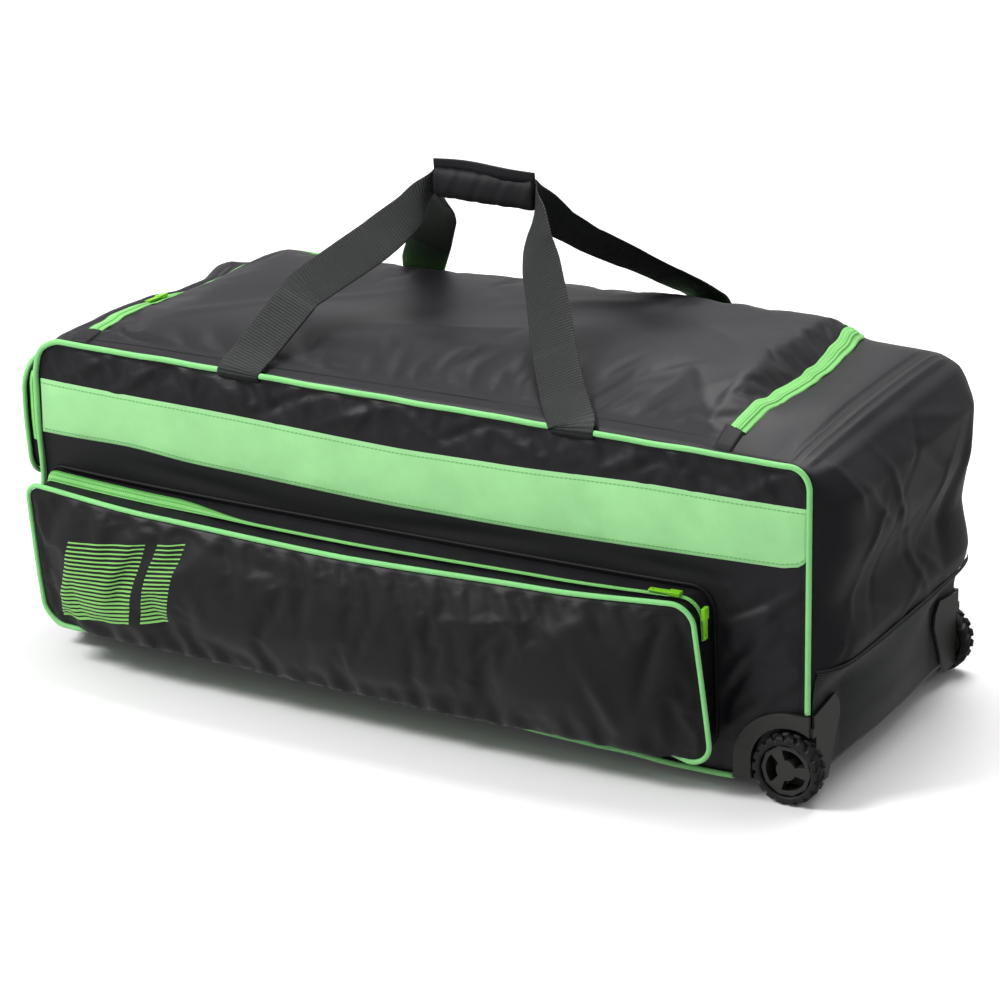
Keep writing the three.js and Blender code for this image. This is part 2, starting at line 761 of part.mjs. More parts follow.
// A cord just outside a pocket's front seam.
function pocketPiping(outline, cordPoint, place) {
  return cordLoop(
    outline.map((p) => {
      const c = cordPoint(p, 0);
      const reach = pipingRadius + seamGap;
      const centre = place(c.u + reach * p.normal[0], c.v + reach * p.normal[1], c.w);
      const far = place(c.u + p.normal[0], c.v + p.normal[1], c.w);
      const out = far.sub(place(c.u, c.v, c.w)).normalize();
      return { centre, out };
    }),
  );
}

// How far a zip tape lies outside the straight line across a gusset, whose middle is drawn in.
const zipRaise = 0.5;

// A zip tape on a pocket's gusset between two outline shares, halfway out.
function gussetZip(outline, cordPoint, place, from, to, width, steps) {
  const count = outline.length;
  function onGusset(share) {
    const f = share * count;
    const i = Math.floor(f) % count;
    const j = (i + 1) % count;
    const t = f - Math.floor(f);
    const point = (k) => {
      const p = outline[k];
      const c = cordPoint(p, 0);
      return {
        u: lerp(p.u, c.u, 0.5) + zipRaise * p.normal[0],
        v: lerp(p.v, c.v, 0.5) + zipRaise * p.normal[1],
        depth: c.w,
        normal: p.normal,
      };
    };
    const a = point(i);
    const b = point(j);
    return {
      u: lerp(a.u, b.u, t),
      v: lerp(a.v, b.v, t),
      depth: lerp(a.depth, b.depth, t),
      nu: lerp(a.normal[0], b.normal[0], t),
      nv: lerp(a.normal[1], b.normal[1], t),
    };
  }
  return sheet(steps, 1, (i, j, side) => {
    const g = onGusset(lerp(from, to, i));
    const w = g.depth / 2 + (j - 0.5) * width;
    return place(g.u + side * zipThickness * g.nu, g.v + side * zipThickness * g.nv, w);
  });
}

// The end pocket: u runs along Y and v up, and w goes out from the left end.
const endWidth = bodyDepth - 2 * endPocketSideMargin;
const endHeight = endPocketTop - endPocketBottom;
const endCorners = [endPocketCorner, endPocketCorner, endPocketCorner, endPocketCorner];
const endOutline = roundedOutline(endWidth, endHeight, endCorners, [4, 2, 4, 2], 3).map((p) => ({
  u: p.u,
  v: p.v + endPocketBottom,
  normal: p.normal,
}));

// The left end's surface at a place, with the top's slump taken into the height.
function endPlace(u, v, w) {
  const t = u / halfDepth;
  const x = -halfLength - endOut(-1, v, t) - endPocketGap - w;
  const sink = leftSlump * along(slumpRows, t, 'drop') * soft((v - endPocketBottom) / endHeight);
  return new THREE.Vector3(x, u, v - sink);
}

function endCord(p, inset) {
  const share = (p.v - endPocketBottom) / endHeight;
  return {
    u: (p.u - inset * p.normal[0]) * 0.97,
    v: p.v - inset * p.normal[1] - 4 * share,
    w: endPocketDepth - inset,
  };
}

function endPocket() {
  return pocketShell({
    outline: endOutline,
    middleUV: { u: 0, v: endPocketBottom + endHeight / 2, w: endPocketDepth },
    cordPoint: endCord,
    place: endPlace,
    wall: fabricWall,
    swell: endPocketSwell,
  });
}

// The rings of one handle leg, from its anchor to the grip.
function legRings(leg, steps) {
  const gripY = leg.side * (gripWebbingThickness / 2 + seamGap / 2);
  const anchorX = anchorShift + (leg.end * anchorSpacing) / 2;
  const anchorZ = bodyHeight + topRise(anchorX, leg.side * seamRow) + trimGap;
  const anchor = new THREE.Vector3(anchorX, leg.side * (halfDepth - seamInset), anchorZ);
  const gripX = gripShift + leg.end * (gripLength / 2 + seamGap);
  const grip = new THREE.Vector3(gripX, gripY, gripCentreHeight);
  const rise = anchor.clone();
  rise.z += leg.start * webbingWidth;
  const entry = grip.clone();
  entry.x += leg.end * leg.entry * webbingWidth;
  entry.z -= leg.hang * webbingWidth;
  const line = new THREE.CubicBezierCurve3(anchor, rise, entry, grip);
  const rings = [];
  for (let i = 0; i <= steps; i += 1) {
    const t = i / steps;
    const centre = line.getPointAt(t);
    const turn = (along(legRows, t, 'turn') * Math.PI) / 2;
    const across = new THREE.Vector3(-leg.end * Math.cos(turn), 0, -Math.sin(turn));
    const width = lerp(webbingWidth, gripWebbingWidth, along(legRows, t, 'narrow'));
    const thick = lerp(webbingThickness, gripWebbingThickness, soft(4 * t - 3));
    const tangent = line.getTangentAt(t).multiplyScalar(-leg.end);
    tangent.lerp(new THREE.Vector3(1, 0, 0), soft(5 * t - 4));
    rings.push(webbingRing(centre, tangent, across, width, thick));
  }
  return rings;
}

// The four corners of the webbing at a point of its line.
function webbingRing(centre, tangent, across, width, thick) {
  const side = across.clone().addScaledVector(tangent, -across.dot(tangent)).normalize();
  const normal = tangent.clone().cross(side).normalize();
  const corners = [
    [1, 1],
    [1, -1],
    [-1, -1],
    [-1, 1],
  ];
  return corners.map(([a, b]) =>
    centre.clone().addScaledVector(side, (a * width) / 2).addScaledVector(normal, (b * thick) / 2),
  );
}

// One handle strap from its left anchor through the grip to its right anchor, side -1 front or 1 back.
function handleStrap(side) {
  const [left, right] = legs.filter((leg) => leg.side === side);
  const rings = legRings(left, 16);
  rings.push(...legRings(right, 16).reverse());
  return stitched(rings, 2);
}

// The wrap round both straps, with the overlap that stands up along its top edge.
function gripWrap() {
  const innerY = gripWebbingThickness + seamGap / 2 + seamGap;
  const innerZ = gripWebbingWidth / 2 + seamGap;
  const outline = (grow) => {
    const shape = [];
    const y = innerY + grow;
    const z = innerZ + grow;
    shape.push([-y, -z], [0, -z - gripBow * 0.4], [y, -z], [y + gripBow, 0]);
    shape.push([y, z], [0, z + gripBow * 0.4], [-y, z], [-y - gripBow, 0]);
    return shape;
  };
  const inner = outline(0);
  const outer = outline(gripWall);
  const steps = 4;
  const outside = [];
  const inside = [];
  for (let i = 0; i <= steps; i += 1) {
    const x = gripShift + (i / steps - 0.5) * gripLength;
    const swell = 1 + 0.05 * Math.sin((Math.PI * i) / steps);
    outside.push(outer.map(([y, z]) => new THREE.Vector3(x, y * swell, gripCentreHeight + z * swell)));
    inside.push(inner.map(([y, z]) => new THREE.Vector3(x, y, gripCentreHeight + z)));
  }
  const tube = skin([...outside, ...inside.reverse()], { loop: true });
  const flapBase = gripCentreHeight + innerZ;
  const flap = sheet(4, 1, (i, j, side) => {
    const x = gripShift + (i - 0.5) * gripLength;
    const lean = gripFlapLean * Math.sin(2 * Math.PI * i) * j;
    const y = lean - gripWall * (side + 1);
    const height = gripFlapHeight + gripWall + gripFlapPeak * Math.sin(Math.PI * i);
    return new THREE.Vector3(x, y, flapBase + j * height);
  });
  return toGeometry(toSolid(tube).add(toSolid(flap)));
}

const tabGap = 2 * seamGap + skidThickness;

// The side of a housing that faces the end: a tab that rises to a rounded top corner.
function endTabShape() {
  const shape = new THREE.Shape();
  const y0 = -halfDepth;
  const y1 = -halfDepth + endTabReach;
  shape.moveTo(y0, housingFoot);
  shape.lineTo(y1 - 0.45 * endTabReach, housingFoot);
  shape.lineTo(y1, 0.72 * endTabTop);
  shape.lineTo(y1 - 0.05 * endTabReach, 0.88 * endTabTop);
  shape.lineTo(y1 - 0.22 * endTabReach, endTabTop);
  shape.lineTo(y0, housingTop);
  shape.lineTo(y0, housingFoot);
  return shape;
}

// A shape drawn in Y and Z, pushed along X from one place to another.
function prismAlongX(shape, fromX, toX) {
  const geometry = new THREE.ExtrudeGeometry(shape, { depth: toX - fromX, bevelEnabled: false });
  geometry.applyMatrix4(new THREE.Matrix4().set(0, 0, 1, fromX, 1, 0, 0, 0, 0, 1, 0, 0, 0, 0, 0, 1));
  return geometry;
}

function mirroredY(geometry) {
  const copy = geometry.clone();
  const position = copy.attributes.position;
  for (let i = 0; i < position.count; i += 1) position.setY(i, -position.getY(i));
  const index = Array.from(copy.index.array);
  index.reverse();
  copy.setIndex(index);
  return copy;
}

function cylinderAlongY(radius, fromY, toY, segments) {
  const geometry = new THREE.CylinderGeometry(radius, radius, toY - fromY, segments);
  geometry.translate(0, (fromY + toY) / 2, 0);
  return geometry;
}

// The front plate of a housing: the arch's outer line, with a straight leg on the left.
function flangeShape() {
  const rise = housingTop - wheelCentreHeight;
  const shape = new THREE.Shape();
  const right = halfLength + tabGap;
  shape.moveTo(flangeLeft, housingFoot);
  shape.lineTo(right, housingFoot);
  shape.lineTo(right, housingTop);
  shape.lineTo(wheelX, housingTop);
  shape.absellipse(wheelX, wheelCentreHeight, wheelX - flangeLeft, rise, Math.PI / 2, Math.PI * 0.97);
  shape.lineTo(flangeLeft, housingFoot);
  return shape;
}

// A moulded corner housing for the front wheel: front plate, well, end tab and axle.
function housingSolid() {
  const plateBack = frontY(flangeLeft, housingTop) - seamGap;
  const plateFront = plateBack - flangeThickness;
  const right = halfLength + tabGap;
  let solid = toSolid(prismAlongY(flangeShape(), plateFront, plateBack, 6));
  const arch = toSolid(prismAlongY(archShape(0), plateBack - 1, -drumY, 6));
  const bounds = new THREE.BoxGeometry(4 * wellRadius, 4 * wellRadius, housingTop - housingFoot);
  bounds.translate(right + housingWall - 2 * wellRadius, -halfDepth, (housingTop + housingFoot) / 2);
  solid = solid.add(arch.intersect(toSolid(bounds)));
  solid = solid.add(toSolid(prismAlongX(endTabShape(), right, right + housingWall)));
  const well = cylinderAlongY(wellRadius, -wheelOuterY - wheelWidth, -wellY, 32);
  well.translate(wheelX, 0, wheelCentreHeight);
  solid = solid.subtract(toSolid(well));
  const below = new THREE.BoxGeometry(2 * wellRadius, wheelOuterY + wheelWidth - wellY, 2 * wellRadius);
  const belowTop = wheelCentreHeight - wellFoot;
  below.translate(wheelX, -(wheelOuterY + wheelWidth + wellY) / 2, belowTop - wellRadius);
  solid = solid.subtract(toSolid(below));
  const axle = cylinderAlongY(axleRadius, -wheelOuterY + axleRecess, -wellY + 1, 12);
  axle.translate(wheelX, 0, wheelCentreHeight);
  return toGeometry(solid.add(toSolid(axle)));
}

// A point on the wheel end's own facets: station is a point of the outline, t a share of half the depth.
function endFacetPoint(station, t, gap) {
  const k = Math.max(1, outerRows.findIndex((row) => row >= t));
  const low = outerRows[k - 1];
  const high = outerRows[k];
  const a = sidePoint(station, low, 0, halfDepth);
  const b = sidePoint(station, high, 0, halfDepth);
  const point = a.lerp(b, (t - low) / (high - low));
  point.x += gap;
  return point;
}

// The ribbed panel low on the wheel end, with the wheel corners left free.
function skidPanel() {
  const edge = 1 - skidSideMargin / halfDepth;
  const stations = bodyOutline.filter((p) => p.normal[0] === 1 && p.u > 0 && p.v <= skidHeight);
  const columns = [-edge, ...outerRows.slice(1, -1), edge];
  const panel = sheet(stations.length - 1, columns.length - 1, (i, j, side) => {
    const station = stations[Math.round(i * (stations.length - 1))];
    const t = columns[Math.round(j * (columns.length - 1))];
    return endFacetPoint(station, t, seamGap + (1 - side) * skidThickness);
  });
  return toGeometry(toSolid(panel).subtract(wheelCorners()));
}

// The tread: a ring with square lugs, one of them at the very bottom.
function tyreGeometry(tilt) {
  const shape = new THREE.Shape();
  const step = (2 * Math.PI) / lugCount;
  const low = wheelRadius - lugDepth;
  for (let i = 0; i < lugCount; i += 1) {
    const middleAngle = -Math.PI / 2 - tilt + i * step;
    const profile = [
      { share: -lugFootShare, radius: low },
      { share: -lugTopShare, radius: wheelRadius },
      { share: lugTopShare, radius: wheelRadius },
      { share: lugFootShare, radius: low },
    ];
    for (const row of profile) {
      const angle = middleAngle + row.share * step;
      const x = row.radius * Math.cos(angle);
      const z = row.radius * Math.sin(angle);
      if (i === 0 && row === profile[0]) shape.moveTo(x, z);
      else shape.lineTo(x, z);
    }
  }
  shape.closePath();
  const hole = new THREE.Path();
  hole.absarc(0, 0, hubRadius + runningGap, 0, 2 * Math.PI);
  shape.holes.push(hole);
  return prismAlongY(shape, -wheelWidth / 2, wheelWidth / 2, 10);
}

// A hub with three spokes and a blind bore, its closed face towards -Y.
function hubGeometry() {
  const shape = new THREE.Shape();
  shape.absarc(0, 0, hubRadius, 0, 2 * Math.PI);
  for (let i = 0; i < 3; i += 1) {
    const from = (2 * Math.PI * i) / 3 + spokeHalfAngle;
    const to = (2 * Math.PI * (i + 1)) / 3 - spokeHalfAngle;
    const hole = new THREE.Path();
    hole.absarc(0, 0, hubRadius * hubRimShare, from, to, false);
    hole.absarc(0, 0, hubRadius * hubBossShare, to - spokeSpread, from + spokeSpread, true);
    hole.closePath();
    shape.holes.push(hole);
  }
  const plate = toSolid(prismAlongY(shape, -hubWidth / 2, hubWidth / 2, 5));
  const bore = cylinderAlongY(axleRadius + runningGap, -hubWidth / 2 + hubFaceWall, hubWidth, 12);
  return toGeometry(plate.subtract(toSolid(bore)));
}

// A zip slider with its pull, along X from its nose, placed point by point by a function.
function sliderGeometry(place) {
  const body = new THREE.BoxGeometry(sliderLength, sliderWidth, sliderThickness);
  body.translate(-sliderLength / 2, 0, sliderThickness / 2);
  const shape = new THREE.Shape();
  shape.moveTo(-pullNeck, -pullWidth / 2);
  shape.lineTo(pullLength, -pullWidth * 0.42);
  shape.lineTo(pullLength, pullWidth * 0.42);
  shape.lineTo(-pullNeck, pullWidth / 2);
  shape.closePath();
  const hole = new THREE.Path();
  hole.absarc(pullLength - pullWidth * 0.6, 0, pullWidth * 0.22, 0, 2 * Math.PI);
  shape.holes.push(hole);
  const pull = new THREE.ExtrudeGeometry(shape, { depth: pullThickness, bevelEnabled: false, curveSegments: 3 });
  pull.translate(0, 0, sliderThickness / 2 - pullThickness / 2);
  const geometry = toGeometry(toSolid(body).add(toSolid(pull)));
  const position = geometry.attributes.position;
  for (let i = 0; i < position.count; i += 1) {
    const p = place(position.getX(i), position.getY(i), position.getZ(i));
    position.setXYZ(i, p.x, p.y, p.z);
  }
  const triangles = Array.from(geometry.index.array);
  if (signedVolume(position.array, triangles) < 0) geometry.setIndex(triangles.reverse());
  return geometry;
}

// The lid's slider rests on the left leg of the zip, its pull towards the front.
function lidSlider() {
  const y0 = -halfDepth * lidSliderShare;
  return sliderGeometry((a, b, c) => {
    const x = lidX0 + b;
    const y = y0 - a;
    return new THREE.Vector3(x, y, topZ(x, y) + trimGap + c);
  });
}

// The pocket's sliders: one on the top gusset with its pull to the left, one round the corner, hanging.
function pocketSlider(hanging) {
  const top = pocketOutline.find((p) => p.normal[1] === 1);
  const side = pocketOutline.findLast((p) => p.normal[0] === 1);
  const start = hanging ? side : top;
  const cord = pocketCord(start, 0);
  const u0 = lerp(start.u, cord.u, 0.5);
  const v0 = lerp(start.v, cord.v, 0.5);
  const raise = zipRaise + zipThickness + seamGap;
  return sliderGeometry((a, b, c) => {
    const w = cord.w / 2 + b;
    if (hanging) return pocketPlace(u0 + raise + c, v0 - a, w);
    return pocketPlace(u0 - sliderLength - a, v0 + raise - seamGap + c, w);
  });
}

const bag = new THREE.Group();

function addPiece(parent, name, geometry, look) {
  const mesh = new THREE.Mesh(geometry, new THREE.MeshStandardMaterial(look));
  mesh.name = name;
  parent.add(mesh);
  return mesh;
}

addPiece(bag, 'body_shell', bodyShell(), finish.fabric);
addPiece(bag, 'lid', lidPanel(), finish.fabric);
addPiece(bag, 'lid_zip', lidZip(), finish.limeZip);
addPiece(bag, 'front_piping', bodyPiping(-1), finish.limeCord);
addPiece(bag, 'back_piping', bodyPiping(1), finish.limeCord);
addPiece(bag, 'front_band', frontBand(), finish.limeFabric);
addPiece(bag, 'front_pocket', frontPocket(), finish.fabric);
addPiece(bag, 'pocket_piping', pocketPiping(pocketOutline, pocketCord, pocketPlace), finish.limeCord);
addPiece(
  bag,
  'pocket_zip',
  gussetZip(pocketOutline, pocketCord, pocketPlace, 0.4, 0.8, pocketZipWidth, 26),
  finish.limeZip,
);
addPiece(bag, 'pocket_slider_left', pocketSlider(false), finish.pull);
addPiece(bag, 'pocket_slider_right', pocketSlider(true), finish.pull);
addPiece(bag, 'lid_zip_slider', lidSlider(), finish.pull);
addPiece(bag, 'end_pocket', endPocket(), finish.fabric);
addPiece(bag, 'end_pocket_piping', pocketPiping(endOutline, endCord, endPlace), finish.limeCord);
addPiece(
  bag,
  'end_pocket_zip',
  gussetZip(endOutline, endCord, endPlace, 0.84, 0.93, endZipWidth, 6),
  finish.limeZip,
);
addPiece(bag, 'handle_strap_front', handleStrap(-1), finish.webbing);
addPiece(bag, 'handle_strap_back', handleStrap(1), finish.webbing);
addPiece(bag, 'grip_wrap', gripWrap(), finish.fabric);
addPiece(bag, 'skid_panel', skidPanel(), finish.skid);

const housing = housingSolid();
addPiece(bag, 'wheel_housing_front', housing, finish.plastic);
addPiece(bag, 'wheel_housing_back', mirroredY(housing), finish.plastic);

// The bag leans a little: it turns about its left base corner until the wheels reach the floor.
const lugHalfAngle = (lugTopShare * 2 * Math.PI) / lugCount;
const floorRadius = wheelRadius * Math.cos(lugHalfAngle);
const pivot = new THREE.Vector3(-halfLength + baseCornerRadius, 0, baseCornerRadius);
const reachX = wheelX - pivot.x;
const reachZ = wheelCentreHeight - pivot.z;
const lift = Math.asin((floorRadius - baseCornerRadius) / Math.hypot(reachX, reachZ));
const tilt = lift - Math.atan2(reachZ, reachX);

for (const [name, side] of [
  ['front', -1],
  ['back', 1],
]) {
  const wheel = new THREE.Group();
  wheel.position.set(wheelX, side * (wheelOuterY - wheelWidth / 2), wheelCentreHeight);
  wheel.rotation.z = side < 0 ? 0 : Math.PI;
  const turn = side < 0 ? tilt : -tilt;
  addPiece(wheel, `wheel_tyre_${name}`, tyreGeometry(turn), finish.tyre);
  addPiece(wheel, `wheel_hub_${name}`, hubGeometry(), finish.plastic);
  bag.add(wheel);
}

bag.rotation.y = -tilt;
bag.position.set(pivot.x, 0, pivot.z).sub(pivot.clone().applyAxisAngle(new THREE.Vector3(0, 1, 0), -tilt));

// The origin is under the middle of the whole bag, on the floor.
const product = new THREE.Group();
product.add(bag);
product.updateMatrixWorld(true);
const box = new THREE.Box3().setFromObject(product, true);
const centre = box.getCenter(new THREE.Vector3());
product.position.set(-centre.x, -centre.y, -box.min.z);
product.updateMatrixWorld(true);

export default product;
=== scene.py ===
"""Looks of a wheeled cricket kit bag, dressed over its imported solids.

Shapes are worked out in the bag's own frame: millimetres, +X towards the wheels, -Y towards the
front pocket, +Z up from the base. BagFrame places them in the row's frame, in metres.
"""

import logging
import math
from dataclasses import dataclass
from enum import Enum
from typing import Optional, Sequence

import bmesh
import bpy
import numpy as np
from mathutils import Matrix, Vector


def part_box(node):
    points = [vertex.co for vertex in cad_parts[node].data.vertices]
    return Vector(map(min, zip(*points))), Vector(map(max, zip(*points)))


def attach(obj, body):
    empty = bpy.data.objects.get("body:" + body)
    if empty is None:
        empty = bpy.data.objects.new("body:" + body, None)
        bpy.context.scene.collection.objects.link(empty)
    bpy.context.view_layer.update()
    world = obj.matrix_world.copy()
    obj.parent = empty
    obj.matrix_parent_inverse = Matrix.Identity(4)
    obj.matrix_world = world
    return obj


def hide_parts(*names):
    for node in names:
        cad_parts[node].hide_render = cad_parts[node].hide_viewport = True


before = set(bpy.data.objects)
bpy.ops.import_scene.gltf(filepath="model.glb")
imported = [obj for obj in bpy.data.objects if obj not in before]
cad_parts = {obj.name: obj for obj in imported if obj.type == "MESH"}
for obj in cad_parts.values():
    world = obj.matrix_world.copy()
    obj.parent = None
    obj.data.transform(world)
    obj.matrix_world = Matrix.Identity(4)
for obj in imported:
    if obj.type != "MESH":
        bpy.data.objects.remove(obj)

log = logging.getLogger("kit_bag")
Array = np.ndarray
Rows = tuple[tuple[float, float], ...]
Points = tuple[tuple[float, float, float], ...]
Tree = bpy.types.NodeTree
Socket = bpy.types.NodeSocket

# A point inside the box, which the faces of its cloth turn away from, in mm
MIDDLE = (0.0, 0.0, 170.0)


def soft(t: Array) -> Array:
    """A soft step: 0 below zero, 1 above one, and 3 t^2 - 2 t^3 between."""
    s = np.clip(t, 0.0, 1.0)
    return s * s * (3 - 2 * s)


def bell(t: Array) -> Array:
    """A bell: 1 at zero, falling to nothing by two on either side."""
    return np.exp(-np.square(t))


def along(rows: Rows, at: Array) -> Array:
    """Reads a table of places and values with partly softened steps.

    Args:
        rows: pairs of place and value, in rising order of place.
        at: the places to read.

    Returns:
        The values, 0.4 of each step straight and 0.6 of it soft.
    """
    places = np.array([row[0] for row in rows])
    values = np.array([row[1] for row in rows])
    at = np.clip(at, places[0], places[-1])
    low = np.clip(np.searchsorted(places, at, side="right") - 1, 0, len(rows) - 2)
    t = (at - places[low]) / (places[low + 1] - places[low])
    return values[low] + (values[low + 1] - values[low]) * (0.4 * t + 0.6 * soft(t))


def ripple(at: Array, waves: Sequence[tuple[float, float, float]]) -> Array:
    """A sum of sines: each wave is its length in mm, its phase and its share."""
    total = np.zeros_like(np.asarray(at, float))
    for length, phase, share in waves:
        total += share * np.sin(2 * math.pi * at / length + phase)
    return total


def unit(rows: Array) -> Array:
    """The rows, each divided by its length."""
    return rows / np.linalg.norm(rows, axis=-1, keepdims=True)


def run_of(path: Array) -> Array:
    """The length so far at each point of a polyline."""
    return np.concatenate([[0.0], np.cumsum(np.linalg.norm(np.diff(path, axis=0), axis=1))])


def grid_of(*parts: Array) -> Array:
    """The parts brought to one shape and stacked along a last axis."""
    return np.stack(np.broadcast_arrays(*parts), -1)


def linear(code: str) -> tuple[float, float, float, float]:
    """Turns an sRGB hex colour into linear light.

    Args:
        code: six hex digits.

    Returns:
        Red, green, blue and an alpha of 1.
    """
    parts = [int(code[i : i + 2], 16) / 255 for i in (0, 2, 4)]
    light = [c / 12.92 if c <= 0.04045 else ((c + 0.055) / 1.055) ** 2.4 for c in parts]
    return (light[0], light[1], light[2], 1.0)


@dataclass(frozen=True)
class BagFrame:
    """Places points of the bag's own frame in the row's frame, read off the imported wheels."""

    wheel_x: float = 431.7
    wheel_z: float = 26.2
    turn: float = 0.0135621

    def place(self, points: Array) -> Array:
        """Turns the points by the bag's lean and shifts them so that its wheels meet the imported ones.

        Args:
            points: bag points in mm, the last axis being X, Y, Z.

        Returns:
            The same points in the row's frame, in metres.
        """
        low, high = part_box("wheel_hub_front")
        far_low, far_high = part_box("wheel_hub_back")
        middle = (low + high) / 2
        mid_y = (low.y + high.y + far_low.y + far_high.y) / 4
        c, s = math.cos(self.turn), math.sin(self.turn)
        dx = (points[..., 0] - self.wheel_x) / 1000
        dz = (points[..., 2] - self.wheel_z) / 1000
        out = np.empty(points.shape)
        out[..., 0] = middle.x + c * dx - s * dz
        out[..., 1] = mid_y + points[..., 1] / 1000
        out[..., 2] = middle.z + s * dx + c * dz
        return out


BAG = BagFrame()


@dataclass(frozen=True)
class Fold:
    """A soft ridge or dip on a plane: its middle, its direction, its length, width and rise in mm."""

    u: float
    v: float
    angle: float
    length: float
    width: float
    rise: float

    def height(self, u: Array, v: Array) -> Array:
        """Its rise times a bell across it and a wider bell along it."""
        a = math.radians(self.angle)
        du, dv = u - self.u, v - self.v
        run = (du * math.cos(a) + dv * math.sin(a)) / self.length
        off = (dv * math.cos(a) - du * math.sin(a)) / self.width
        return self.rise * np.exp(-np.square(off) - 2 * np.square(run))


def folded(folds: Sequence[Fold], u: Array, v: Array) -> Array:
    """The sum of the folds' heights."""
    total = np.zeros(np.broadcast(u, v).shape)
    for fold in folds:
        total += fold.height(u, v)
    return total


@dataclass(frozen=True)
class Loop:
    """A closed outline: points, outward directions and length run so far, as arrays."""

    u: Array
    v: Array
    nu: Array
    nv: Array
    s: Array
    corners: tuple[int, int, int, int]

    def moved(self, du: float, dv: float) -> "Loop":
        """The same outline shifted."""
        return Loop(self.u + du, self.v + dv, self.nu, self.nv, self.s, self.corners)


def rounded_loop(width: float, height: float, radii: Sequence[float], step: float) -> Loop:
    """A rounded rectangle, anticlockwise from the lower left, standing on v = 0 about u = 0.

    Args:
        width: its width in mm.
        height: its height in mm.
        radii: lower left, lower right, upper right and upper left radius in mm.
        step: the spacing of its points in mm.

    Returns:
        The outline, its corners counted from the lower left.
    """
    w = width / 2
    ll, lr, ur, ul = radii
    runs = [
        ((-w + ll, 0), (w - lr, 0), (w - lr, lr), lr, -math.pi / 2),
        ((w, lr), (w, height - ur), (w - ur, height - ur), ur, 0.0),
        ((w - ur, height), (-w + ul, height), (-w + ul, height - ul), ul, math.pi / 2),
        ((-w, height - ul), (-w, ll), (-w + ll, ll), ll, math.pi),
    ]
    parts, middles, count = [], [], 0
    for start, end, centre, radius, angle in runs:
        steps = max(2, round(math.dist(start, end) / step))
        t = np.arange(steps) / steps
        direction = np.array([math.cos(angle), math.sin(angle)])
        line = np.outer(1 - t, start) + np.outer(t, end)
        parts.append(np.column_stack([line, np.tile(direction, (steps, 1))]))
        turns = max(6, round(radius * math.pi / 2 / step * 1.6))
        a = angle + np.arange(turns) / turns * math.pi / 2
        normal = np.column_stack([np.cos(a), np.sin(a)])
        parts.append(np.column_stack([np.array(centre) + radius * normal, normal]))
        middles.append(count + steps + turns // 2)
        count += steps + turns
    points = np.concatenate(parts)
    lengths = np.hypot(*np.diff(points[:, :2], axis=0, append=points[:1, :2]).T)
    s = np.concatenate([[0.0], np.cumsum(lengths)[:-1]])
    corners = (middles[3], middles[0], middles[1], middles[2])
    return Loop(points[:, 0], points[:, 1], points[:, 2], points[:, 3], s, corners)


def resampled(line: Array, count: int) -> Array:
    """The polyline with count points, evenly spaced along it."""
    run = run_of(line)
    at = np.linspace(0, run[-1], count)
    return np.column_stack([np.interp(at, run, line[:, k]) for k in range(line.shape[1])])


def patch(ring: Array, corners: Sequence[int], columns: int, rows: int) -> Array:
    """A four-sided patch inside a closed ring: the sum of the two blends between facing sides, less the
    blend of the four corners.

    Args:
        ring: the ring's points, anticlockwise, any number of values to a point.
        corners: the indexes of its lower left, lower right, upper right and upper left corner.
        columns: points along the bottom and top.
        rows: points along the sides.

    Returns:
        An array of rows by columns points.
    """
    count = len(ring)

    def side(a: int, b: int, points: int) -> Array:
        """The ring from corner a to corner b."""
        index = np.arange(a, b + 1 if b > a else b + count + 1) % count
        return resampled(ring[index], points)

    low = side(corners[0], corners[1], columns)
    right = side(corners[1], corners[2], rows)
    high = side(corners[2], corners[3], columns)[::-1]
    left = side(corners[3], corners[0], rows)[::-1]
    a = np.linspace(0, 1, columns)[None, :, None]
    b = np.linspace(0, 1, rows)[:, None, None]
    blend = (1 - b) * low[None] + b * high[None] + (1 - a) * left[:, None] + a * right[:, None]
    corner = (1 - a) * (1 - b) * low[0] + a * (1 - b) * low[-1] + (1 - a) * b * high[0] + a * b * high[-1]
    return blend - corner


